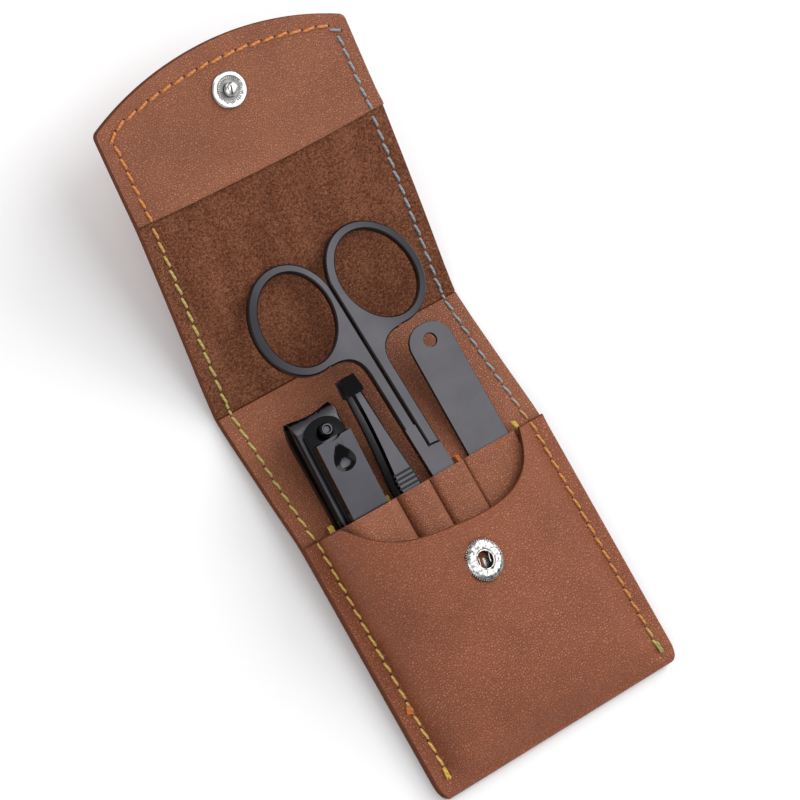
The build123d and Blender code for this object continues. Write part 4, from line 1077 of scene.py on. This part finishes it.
# %% Flap seams
arc_x = np.array([-31.2, -30.2, -26.6, -16.0, -4.0, 7.3, 18.0, 28.5, 30.6, 31.2])
arc_s = np.array([176.2, 177.4, 178.6, 180.9, 182.0, 181.8, 180.4, 177.9, 177.0, 175.8])
ARC_POINTS, ARC_LIFT = 90, 0.13


def smooth_line(x, s, count):
    """A smooth run through a few points, by length."""
    length = np.concatenate([[0], np.cumsum(np.hypot(np.diff(x), np.diff(s)))])
    even = np.linspace(0, length[-1], count)
    return np.interp(even, length, x), np.interp(even, length, s)


for side, face in ((1, "inside"), (-1, "outside")):
    rows = edge_rows(face, side, ("suede", 108.5, 152.0, 4), ("facing", 156.2, 173.0, 8))
    rows.append(seam_row(f"arc_{face}", *smooth_line(arc_x, arc_s, ARC_POINTS), side, 6,
                         lift=ARC_LIFT))
    row = joined(f"flap_stitches_{face}", rows)
    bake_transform(row)
    print(row.name, len(row.data.polygons), "faces")

# %% [markdown]
# Where a seam begins or ends, the machine sews to and fro a few times, which
# leaves a short thick bundle. The same tacks hold the pocket's corners and the
# loops' seams. A few strands of the one stitch make each, every strand a little
# longer or more tilted than the last, from random numbers with a fixed seed.

# %% Tacks
rng = np.random.default_rng(7)
STRAND_GAP, STRAND_WIDE, STRAND_HIGH = 0.46, 0.6, 0.75
TACKS = (
    ("mouth_tacks", gold_thread, [(-27.0, 66.3, 3.75, 8, 2.8, 3), (27.4, 66.9, 3.4, -12, 2.2, 2)]),
    ("loop_tacks_left", gold_thread, [(-10.6, 66.6, 2.9, 0, 1.9, 2)]),
    ("loop_tacks_right", orange_thread, [(10.2, 66.6, 2.9, 0, 2.0, 2)]),
    ("seam_end_left", gold_thread, [(-31.6, 4.2, 3.35, 4, 3.4, 2)]),
    ("seam_end_right", olive_thread, [(31.6, 3.2, 3.35, -4, 3.4, 2)]),
    ("thread_knot", orange_thread, [(-32.2, 21.4, 3.5, 24, 2.4, 2),
                                    (-31.9, 20.8, 3.7, -20, 1.9, 1)]))


def tack(name, finish, spots):
    """Bundles of thread. Each spot: x, s, height, turn in degrees, length, strands."""
    unit = np.array([v.co for v in one_stitch.data.vertices])
    sides = [list(p.vertices) for p in one_stitch.data.polygons]
    across = np.array((1.0, 0.0, 0.0))
    skin, faces = [], []
    for x, s, h, turn, length, strands in spots:
        origin = strip(x, s, h)
        ahead, up = strip(x, s + 1, h) - origin, strip(x, s, h + 1) - origin
        c, d = math.cos(math.radians(turn)), math.sin(math.radians(turn))
        run, beside = c * ahead + d * across, c * across - d * ahead
        for k in range(strands):
            offset = (k - (strands - 1) / 2) * STRAND_GAP
            size = (length * (0.9 + 0.2 * rng.random()), STRAND_WIDE, STRAND_HIGH)
            tilt = 0.10 * (rng.random() - 0.5)
            local = unit * size
            local[:, 1] += offset + tilt * local[:, 0]
            faces += [[len(skin) + i for i in side] for side in sides]
            skin += list(origin + local[:, :1] * run + local[:, 1:2] * -beside + local[:, 2:] * up)
    return settle(mesh_piece(name, np.array(skin), faces, [finish]), 60)


for name, finish, spots in TACKS:
    piece = tack(name, finish, spots)
    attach(piece, "case")
    print(piece.name, len(piece.data.polygons), "faces")
for shape in (one_stitch, one_hole):
    bpy.data.objects.remove(shape)

# %% [markdown]
# ## Tools
# The tools' shapes are settled in the CAD parts. A real blank is tumbled after
# stamping, so its edges are never perfectly sharp. A copy of each solid is
# merged into one skin and gets a tiny bevel, which catches the light. Weighted
# normals keep the flats flat beside it.

# %% Tumbled copies
BODY_OF = {name: body for body, names in frame["record"]["behaviour"]["bodies"].items()
           for name in names}
MERGE, FLAT_BELOW, SHARP_ABOVE = 0.002, math.radians(1.0), math.radians(32)


def tumbled(node, slot, finishes, choose=None, width=0.12, ease=None):
    """A copy of a solid with its edges rounded by width millimetres.

    ease moves its points first, and choose picks each face's finish at the end."""
    mesh = frame["nodes"][node].data.copy()
    if ease:
        for vertex in mesh.vertices:
            vertex.co = ease(vertex.co)
    piece = new_piece(node + "_finished", mesh)
    work = bmesh.new()
    work.from_mesh(mesh)
    bmesh.ops.remove_doubles(work, verts=work.verts, dist=MERGE * MM)
    bmesh.ops.dissolve_limit(work, angle_limit=FLAT_BELOW, verts=work.verts, edges=work.edges)
    work.to_mesh(mesh)
    work.free()
    mesh.materials.clear()
    for finish in finishes:
        mesh.materials.append(finish)
    mesh.polygons.foreach_set("use_smooth", [True] * len(mesh.polygons))
    bevel = piece.modifiers.new("tumbled_edge", "BEVEL")
    bevel.width, bevel.segments, bevel.limit_method = width * MM, 2, "ANGLE"
    bevel.angle_limit = SHARP_ABOVE
    even = piece.modifiers.new("flats_stay_flat", "WEIGHTED_NORMAL")
    even.weight, even.keep_sharp = 60, False
    settle(piece, None)
    if choose:
        points = np.array([v.co for v in piece.data.vertices]) / MM
        piece.data.polygons.foreach_set("material_index", [
            choose(points[list(face.vertices)], face.normal) for face in piece.data.polygons])
    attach(piece, BODY_OF[node])
    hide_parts(node)
    print(piece.name, len(piece.data.polygons), "faces")


print("solids that may be copied:", len(BODY_OF))

# %% [markdown]
# A tool's faces take three tones of black, which paint its light and shade. The
# upper flats keep the satin coat, the sides and the grip's valleys get the dark
# gloss as painted deep shade, and the scissors' chamfers and the tweezers' tip
# get a tone between, as painted half shade. Which is which follows from how a
# face is turned and where it lies, so a small function looks at each face's
# corners and normal.

# %% Which face gets which finish
# A face's finish: the coat's own tone, the darker gloss as painted deep shade, or the tip's tone as
# painted half shade.
SATIN, DEEP_SHADE, HALF_SHADE = 0, 1, 2
FLAT, LIP_FLAT, CHAMFER = 0.975, 0.84, 0.6  # how far a face looks up: 1 is straight up
SLIT_X, SLIT_Y, SLIT_LEAN, SLIT_SIDE = 2.17, 27.7, 0.03, 0.7
TIP_BLOCK_Y = 2.4
GRIP_S, GRIP_STEP, VALLEYS, VALLEY_HALF = 69.0, 1.15, 4, 0.27


# Faces that look up keep the coat's tone; all others get the painted deep shade.
def shade_by_facing(corners, normal, flat=FLAT):
    return SATIN if normal.dot(POCKET_UP) > flat else DEEP_SHADE


def shade_lip(corners, normal):
    """The clipper's upper jaw curves down to its edge and keeps the coat's tone further round it.
    """
    return shade_by_facing(corners, normal, LIP_FLAT)


def shade_chamfers(corners, normal):
    """The scissors' chamfers are painted half shade, except along the slit between the shanks."""
    x, y, _ = corners.mean(0)
    if CHAMFER < normal.dot(POCKET_UP) < FLAT:
        by_slit = abs(x - SLIT_X - SLIT_LEAN * (y - SLIT_Y)) < SLIT_SIDE
        return SATIN if by_slit else HALF_SHADE
    return shade_by_facing(corners, normal)


def shade_arm(corners, normal):
    """The tweezers' tip is painted half shade, and the grip's valleys painted deep shade."""
    centre = Vector(corners.mean(0))
    if centre.y > TIP_BLOCK_Y:
        return HALF_SHADE
    valley = ((centre - POCKET_FOOT).dot(POCKET_ALONG) - GRIP_S) / GRIP_STEP + 1.5
    if -0.4 < valley < VALLEYS - 0.6 and abs(valley - round(valley)) < VALLEY_HALF:
        return DEEP_SHADE
    return shade_by_facing(corners, normal)


print("finishes by face:", SATIN, DEEP_SHADE, HALF_SHADE)

# %% [markdown]
# The scissors' rings are ground by hand, which leaves each a fuller band, and
# fills the corner where it meets its neck. So the copy's hole is scaled down a
# little round its own centre, and the notch is pulled onto a straight line.

# %% Rings eased into their necks
# The hole's centre (x, s), its long axis, the notch's outer and inner end, and
# how far the notch's upper points slip sideways.
RINGS = {
    "scissors_left_half": ((-9.54, 114.43), (-0.148, -0.989), (-8.25, 101.16), (-5.01, 101.00),
                           -0.28),
    "scissors_right_half": ((14.14, 115.46), (0.233, -0.972), (14.51, 102.09), (11.54, 101.81),
                            0.34)}
HOLE_LONG, HOLE_WIDE, HOLE_REACH = 12.0, 9.8, 1.10
SHRINK_X, SHRINK_S, SHIFT_X = 0.035, 0.03, 0.3
NOTCH_LOW, NOTCH_SLIPS, NOTCH_HIGH = -0.1, 0.6, 0.75


def eased_ring(node):
    """How a half's points move, or None for a tool without a ring."""
    if node not in RINGS:
        return None
    (hole_x, hole_s), (ax, along), (x0, s0), (x1, s1), slip = RINGS[node]

    def ease(point):
        x, s = point.x / MM, (point / MM - POCKET_FOOT).dot(POCKET_ALONG)
        dx, ds = x - hole_x, s - hole_s
        along_hole, across_hole = dx * ax + ds * along, dx * along - ds * ax
        if math.hypot(along_hole / HOLE_LONG, across_hole / HOLE_WIDE) < HOLE_REACH:
            return (point + Vector((SHIFT_X - SHRINK_X * dx, 0, 0)) * MM
                    - POCKET_ALONG * (SHRINK_S * ds * MM))
        above = s - (s0 + (s1 - s0) * (x - x0) / (x1 - x0))
        if min(x0, x1) < x < max(x0, x1) and NOTCH_LOW < above < NOTCH_HIGH:
            sideways = slip if above > NOTCH_SLIPS else 0.0
            return point + Vector((sideways * MM, 0, 0)) + POCKET_ALONG * (-above * MM)
        return point
    return ease


print("rings to ease:", sorted(RINGS))

# %% [markdown]
# Now each tool's parts are copied and finished, each with its own black for the
# flats: a greyer black on the clipper's lower jaw, pin and lever, and on the
# scissors a black that is painted darker at the rings as their shade. Two tiny
# solids, the rivet and the screw, only take a finish.

# %% Steel parts
STEEL = {
    "clipper_lower_jaw": ("gloss", lever_black, shade_by_facing),
    "clipper_upper_jaw": ("gloss", satin_black, shade_lip),
    "clipper_pin": ("gloss", lever_black, shade_by_facing),
    "clipper_lever": ("satin", lever_black, shade_by_facing),
    "tweezers_lower_arm": ("satin", satin_black, shade_arm),
    "tweezers_upper_arm": ("satin", satin_black, shade_arm),
    "scissors_left_half": ("satin", ring_shade_black, shade_chamfers),
    "scissors_right_half": ("satin", ring_shade_black, shade_chamfers),
    "nail_file": ("satin", satin_black, shade_by_facing)}
for name, (look, flats, choose) in STEEL.items():
    tumbled(name, look + "_black_steel", [flats, gloss_shade_black, half_shade_black], choose,
            ease=eased_ring(name))
for name, finish in (("clipper_rivet", gloss_shade_black), ("scissors_screw", satin_black)):
    materials = frame["nodes"][name].data.materials
    materials.clear()
    materials.append(finish)
print("steel parts:", len(STEEL), "copies and 2 solids as they are")

# %% [markdown]
# The loops are one narrow strip of leather pushed up round each tool. Its solid
# is dressed the same way, with a softer edge. So are the two plain parts that
# clamp the snap from behind, with a finer one.

# %% Loops, eyelet and rivet
tumbled("tool_loops", "lining_leather", [lining_leather], width=0.45)
for name in ("snap_eyelet", "stud_rivet"):
    tumbled(name, "nickel", [snap_nickel], width=0.06)

# %% [markdown]
# ## Snap
# The snap's stud stands on the facing and its socket on the pocket's front. Each
# half gets a frame of its own, with z along its axis, so that its marks and its
# finishes can be given by radius and height.

# %% Where the snap's halves sit
FACING_SLOPE = math.atan2(CORNERS[4][1] - CORNERS[3][1], CORNERS[4][0] - CORNERS[3][0])
STUD_S, SOCKET_H, SOCKET_TILT = FACING_S + 19.8, 10.7, math.radians(8.0)
ACROSS = Vector((1, 0, 0))


def frame_at(origin, x_axis, z_axis):
    """Places a flat design on the case: origin in millimetres, then two directions."""
    x_axis, z_axis = Vector(x_axis).normalized(), Vector(z_axis).normalized()
    turned = Matrix((x_axis, z_axis.cross(x_axis), z_axis)).transposed().to_4x4()
    return Matrix.Translation(Vector(origin) * MM) @ turned


stud_place = frame_at(strip(0, STUD_S, LEATHER + FACING), ACROSS,
                      (0, -math.sin(FACING_SLOPE), math.cos(FACING_SLOPE)))
socket_place = frame_at(POCKET_FOOT + SOCKET_S * POCKET_ALONG + SOCKET_H * POCKET_UP,
                        ACROSS * math.cos(SOCKET_TILT) - POCKET_UP * math.sin(SOCKET_TILT),
                        POCKET_UP * math.cos(SOCKET_TILT) + ACROSS * math.sin(SOCKET_TILT))
for place in (stud_place, socket_place):
    print("half of the snap at", [round(c / MM, 1) for c in place.translation])

# %% [markdown]
# Plate wears off where the halves rub. The socket's rim has tarnish, the hollows
# round the stud's post are painted darker as the post's shade, and the socket's
# hole shows leather fibre painted dark as the shade inside it.

# %% Snap halves
def by_radius(place, inside):
    """Chooses a finish by radius and height in millimetres, in the half's own frame."""
    back = place.inverted()

    def choose(corners, normal):
        local = [back @ Vector(corner * MM) / MM for corner in corners]
        return inside(np.mean([math.hypot(p.x, p.y) for p in local]), np.mean([p.z for p in local]))
    return choose


def socket_finish(r, z):
    """The hole's bottom painted dark as its shade, the rim's tarnish, and the worn ring between
    them.
    """
    if r < 2.3 and z < 1.0:
        return 2
    return 1 if r > 4.8 else 0


def stud_finish(r, z):
    """The post's foot and the valley round it painted darker as the post's shade, and the bright
    rest.
    """
    if r < 2.2 and z < 1.0:
        return 1
    return 2 if r < 3.2 and z < 0.6 else 0


tumbled("snap_socket", "nickel", [worn_nickel, tarnish_and_shade, snap_hole_shade], width=0.06,
        choose=by_radius(socket_place, socket_finish))
tumbled("snap_stud", "nickel", [snap_nickel, tarnish_and_shade, dull_nickel], width=0.06,
        choose=by_radius(stud_place, stud_finish))

# %% [markdown]
# Both halves are stamped with rings of small marks: ribs round the stud and
# beads round the socket. This tree places a shape round a circle, turned
# outwards, and a fixed seed wears some down more than others.

# %% A tree for shapes round a circle
def ring_tree():
    g, ask = new_tree("shapes_round_circle", ("Count", "Int"), ("Radius", "Float"),
                      ("Height", "Float"), ("Shape", "Object"), ("Finish", "Material"),
                      ("Seed", "Int"))
    ring = g.add("GeometryNodeMeshCircle", {"fill_type": "NONE"},
                 {"Vertices": ask("Count"), "Radius": ask("Radius") * MM})
    lift = g.add("ShaderNodeCombineXYZ", None, {"Z": ask("Height") * MM})
    raised = g.add("GeometryNodeSetPosition", None, {"Geometry": ring, "Offset": lift})
    place = g.add("GeometryNodeInputPosition")
    outward = g.add("ShaderNodeVectorMath", {"operation": "MULTIPLY"}, {0: place, 1: (1, 1, 0)})
    turn = g.add("FunctionNodeAlignRotationToVector", {"axis": "X", "pivot_axis": "Z"},
                 {"Vector": outward})
    size = g.add("ShaderNodeCombineXYZ", None, {
        "X": 1.0, "Y": 1.0, "Z": chance(g, 0.92, 1.06, ask("Seed"))})
    return place_shapes(g, ask, raised, turn, size)


circle_tree = ring_tree()
print("circle tree:", len(circle_tree.nodes), "nodes")

# %% [markdown]
# A rib and a bead are the same small rounded bar at two sizes, a few faces each,
# because dozens of them are needed.

# %% Ribs and beads
def lump(name, length, width, height):
    """A small rounded bar, length along x, standing on z = 0."""
    bar = [(x * length, y * k * width, z * k * height)
           for x, k in ((-0.5, 0.55), (-0.32, 1.0), (0.32, 1.0), (0.5, 0.55))
           for y, z in ((-0.5, 0.0), (-0.34, 0.8), (0.0, 1.0), (0.34, 0.8), (0.5, 0.0))]
    faces = [[i * 5 + k, i * 5 + k + 1, (i + 1) * 5 + k + 1, (i + 1) * 5 + k]
             for i in range(3) for k in range(4)]
    faces += [[0, 5, 10, 15, 19, 14, 9, 4], [4, 3, 2, 1, 0], [15, 16, 17, 18, 19]]
    return mesh_piece(name, np.array(bar), [f[::-1] for f in faces], [])


def round_ring(name, place, body, shape, **given):
    piece = mesh_piece(name, np.zeros((1, 3)), [], [])
    run_tree(piece, circle_tree, Shape=shape, Finish=snap_nickel, Seed=4, **given)
    piece.data.transform(place)
    bpy.data.objects.remove(shape)
    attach(piece, body)
    print(piece.name, len(piece.data.polygons), "faces")


round_ring("stud_ribs", stud_place, "flap_tip", lump("one_rib", 0.95, 0.26, 0.26),
           Count=36, Radius=2.9, Height=0.26)
round_ring("socket_beads", socket_place, "case", lump("one_bead", 0.50, 0.33, 0.30),
           Count=52, Radius=4.88, Height=0.44)

# %% [markdown]
# Two bent wires in the socket spring apart to let the post in, and a shallow
# slot crosses the stud's head; its rod is dark, which paints the slot's shade. Both
# are round rods through a few points, and both halves were pressed on at the same
# slight turn.

# %% Springs and slot
TURN_ACROSS, TURN_ALONG = 0.27, 0.96
SPRING_FROM, SPRING_BOW, SPRING_BEND, SPRING_Z = 1.75, 0.25, 1.6, 0.55
SLOT_X, SLOT_Z, SLOT_BOW = -0.35, 2.42, 0.10


def rod(name, points, radius, finish, sides):
    """A round wire through a few points."""
    points = [Vector(p) for p in points]
    skin = []
    for i, point in enumerate(points):
        ahead = points[min(i + 1, len(points) - 1)] - points[max(i - 1, 0)]
        side = ahead.orthogonal() if i == 0 else side - side.project(ahead)
        side = side.normalized()
        other = ahead.cross(side).normalized()
        skin += [point + radius * (c * side + d * other) for c, d in circle(sides)]
    wire = mesh_piece(name, np.array(skin), tube_faces(len(points), sides), [finish])
    wire.data.polygons.foreach_set("use_smooth", [True] * len(wire.data.polygons))
    return wire


def spring(hand):
    """One wire, on the left (-1) or the right (1)."""
    bow = lambda t: SPRING_FROM - SPRING_BOW * (1 - (t / SPRING_BEND) ** 2)
    wire = rod(f"socket_spring_{hand}",
               [(hand * bow(t) + TURN_ACROSS * t, TURN_ALONG * t, SPRING_Z)
                for t in np.linspace(-1.3, 1.3, 9)], 0.16, snap_nickel, 10)
    wire.data.transform(socket_place)
    return wire


springs = joined("socket_springs", [spring(-1), spring(1)])
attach(springs, "case")
# The slot is a dark raised rod that paints the slot's shade.
slot_shade_rod = rod("stud_slot", [(TURN_ACROSS * t + SLOT_X, TURN_ALONG * t, SLOT_Z - SLOT_BOW * t * t)
                              for t in np.linspace(-1.1, 1.1, 7)], 0.19, tarnish_and_shade, 8)
slot_shade_rod.data.transform(stud_place)
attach(slot_shade_rod, "flap_tip")
print("springs and slot:", len(springs.data.polygons), len(slot_shade_rod.data.polygons), "faces")

# %% [markdown]
# ## Studio
# A pale floor, a pale world and large soft lights. The overhead one stands where
# the tools' flats mirror it to the camera, and the key is low on the right, so
# that the shadows fall to the left. The others only soften them.

# %% Floor, lights and world
FLOOR_HALF, FLOOR_GAP = 3000, 0.4


def softbox(name, place, size, watts):
    """A soft rectangular light that looks at the middle of the case."""
    light = bpy.data.lights.new(name, "AREA")
    light.shape, light.size, light.size_y, light.energy = "RECTANGLE", size[0], size[1], watts
    lamp = new_piece(name, light)
    lamp.location = place
    lamp.rotation_euler = (-Vector(place)).to_track_quat("-Z", "Y").to_euler()


ground = cad_box[0][2] / MM - FLOOR_GAP
paper = Finish("pale_floor", Roughness=0.85, Specular_IOR_Level=0.1,
               Base_Color=(0.93, 0.93, 0.94, 1.0))
floor = mesh_piece("floor", [(x * FLOOR_HALF, y * FLOOR_HALF, ground)
                             for x, y in ((-1, -1), (1, -1), (1, 1), (-1, 1))],
                   [[0, 1, 2, 3]], [paper.material])
softbox("overhead", (0.38, -0.02, 0.93), (0.75, 0.75), 3.9)
softbox("key", (0.80, 0.22, 0.52), (0.75, 0.55), 5.2)
softbox("fill", (-0.60, -0.25, 0.76), (0.90, 0.90), 3.0)
softbox("back", (-0.25, 0.85, 0.60), (0.60, 0.40), 1.2)
world = bpy.data.worlds.new("pale_room")
world.use_nodes = True
sky = world.node_tree.nodes["Background"]
sky.inputs["Color"].default_value = (1.0, 1.0, 1.0, 1.0)
sky.inputs["Strength"].default_value = 0.40
bpy.context.scene.world = world
print("floor at", round(ground, 2), "mm")

# %% [markdown]
# The camera has a long lens and looks down steeply from one side, a little
# rolled. Plain view settings show the colours as they are.

# %% Camera
RIGHT, UP, BACK = ((0.81298986, -0.51376259, 0.27403557), (0.45069777, 0.85320901, 0.26249933),
                   (-0.36867195, -0.08990207, 0.92520193))
EYE = (-0.264616, -0.069929, 0.685139)
lens = bpy.data.cameras.new("camera")
lens.lens, lens.sensor_width, lens.clip_start, lens.clip_end = 137.25, 36.0, 0.01, 20.0
camera = new_piece("camera", lens)
camera.matrix_world = Matrix.Translation(EYE) @ Matrix((RIGHT, UP, BACK)).transposed().to_4x4()
bpy.context.scene.camera = camera
view = bpy.context.scene.view_settings
view.view_transform, view.look = "Standard", "None"
view.exposure, view.gamma = 0.0, 1.0
print("camera at", [round(c, 3) for c in camera.location])
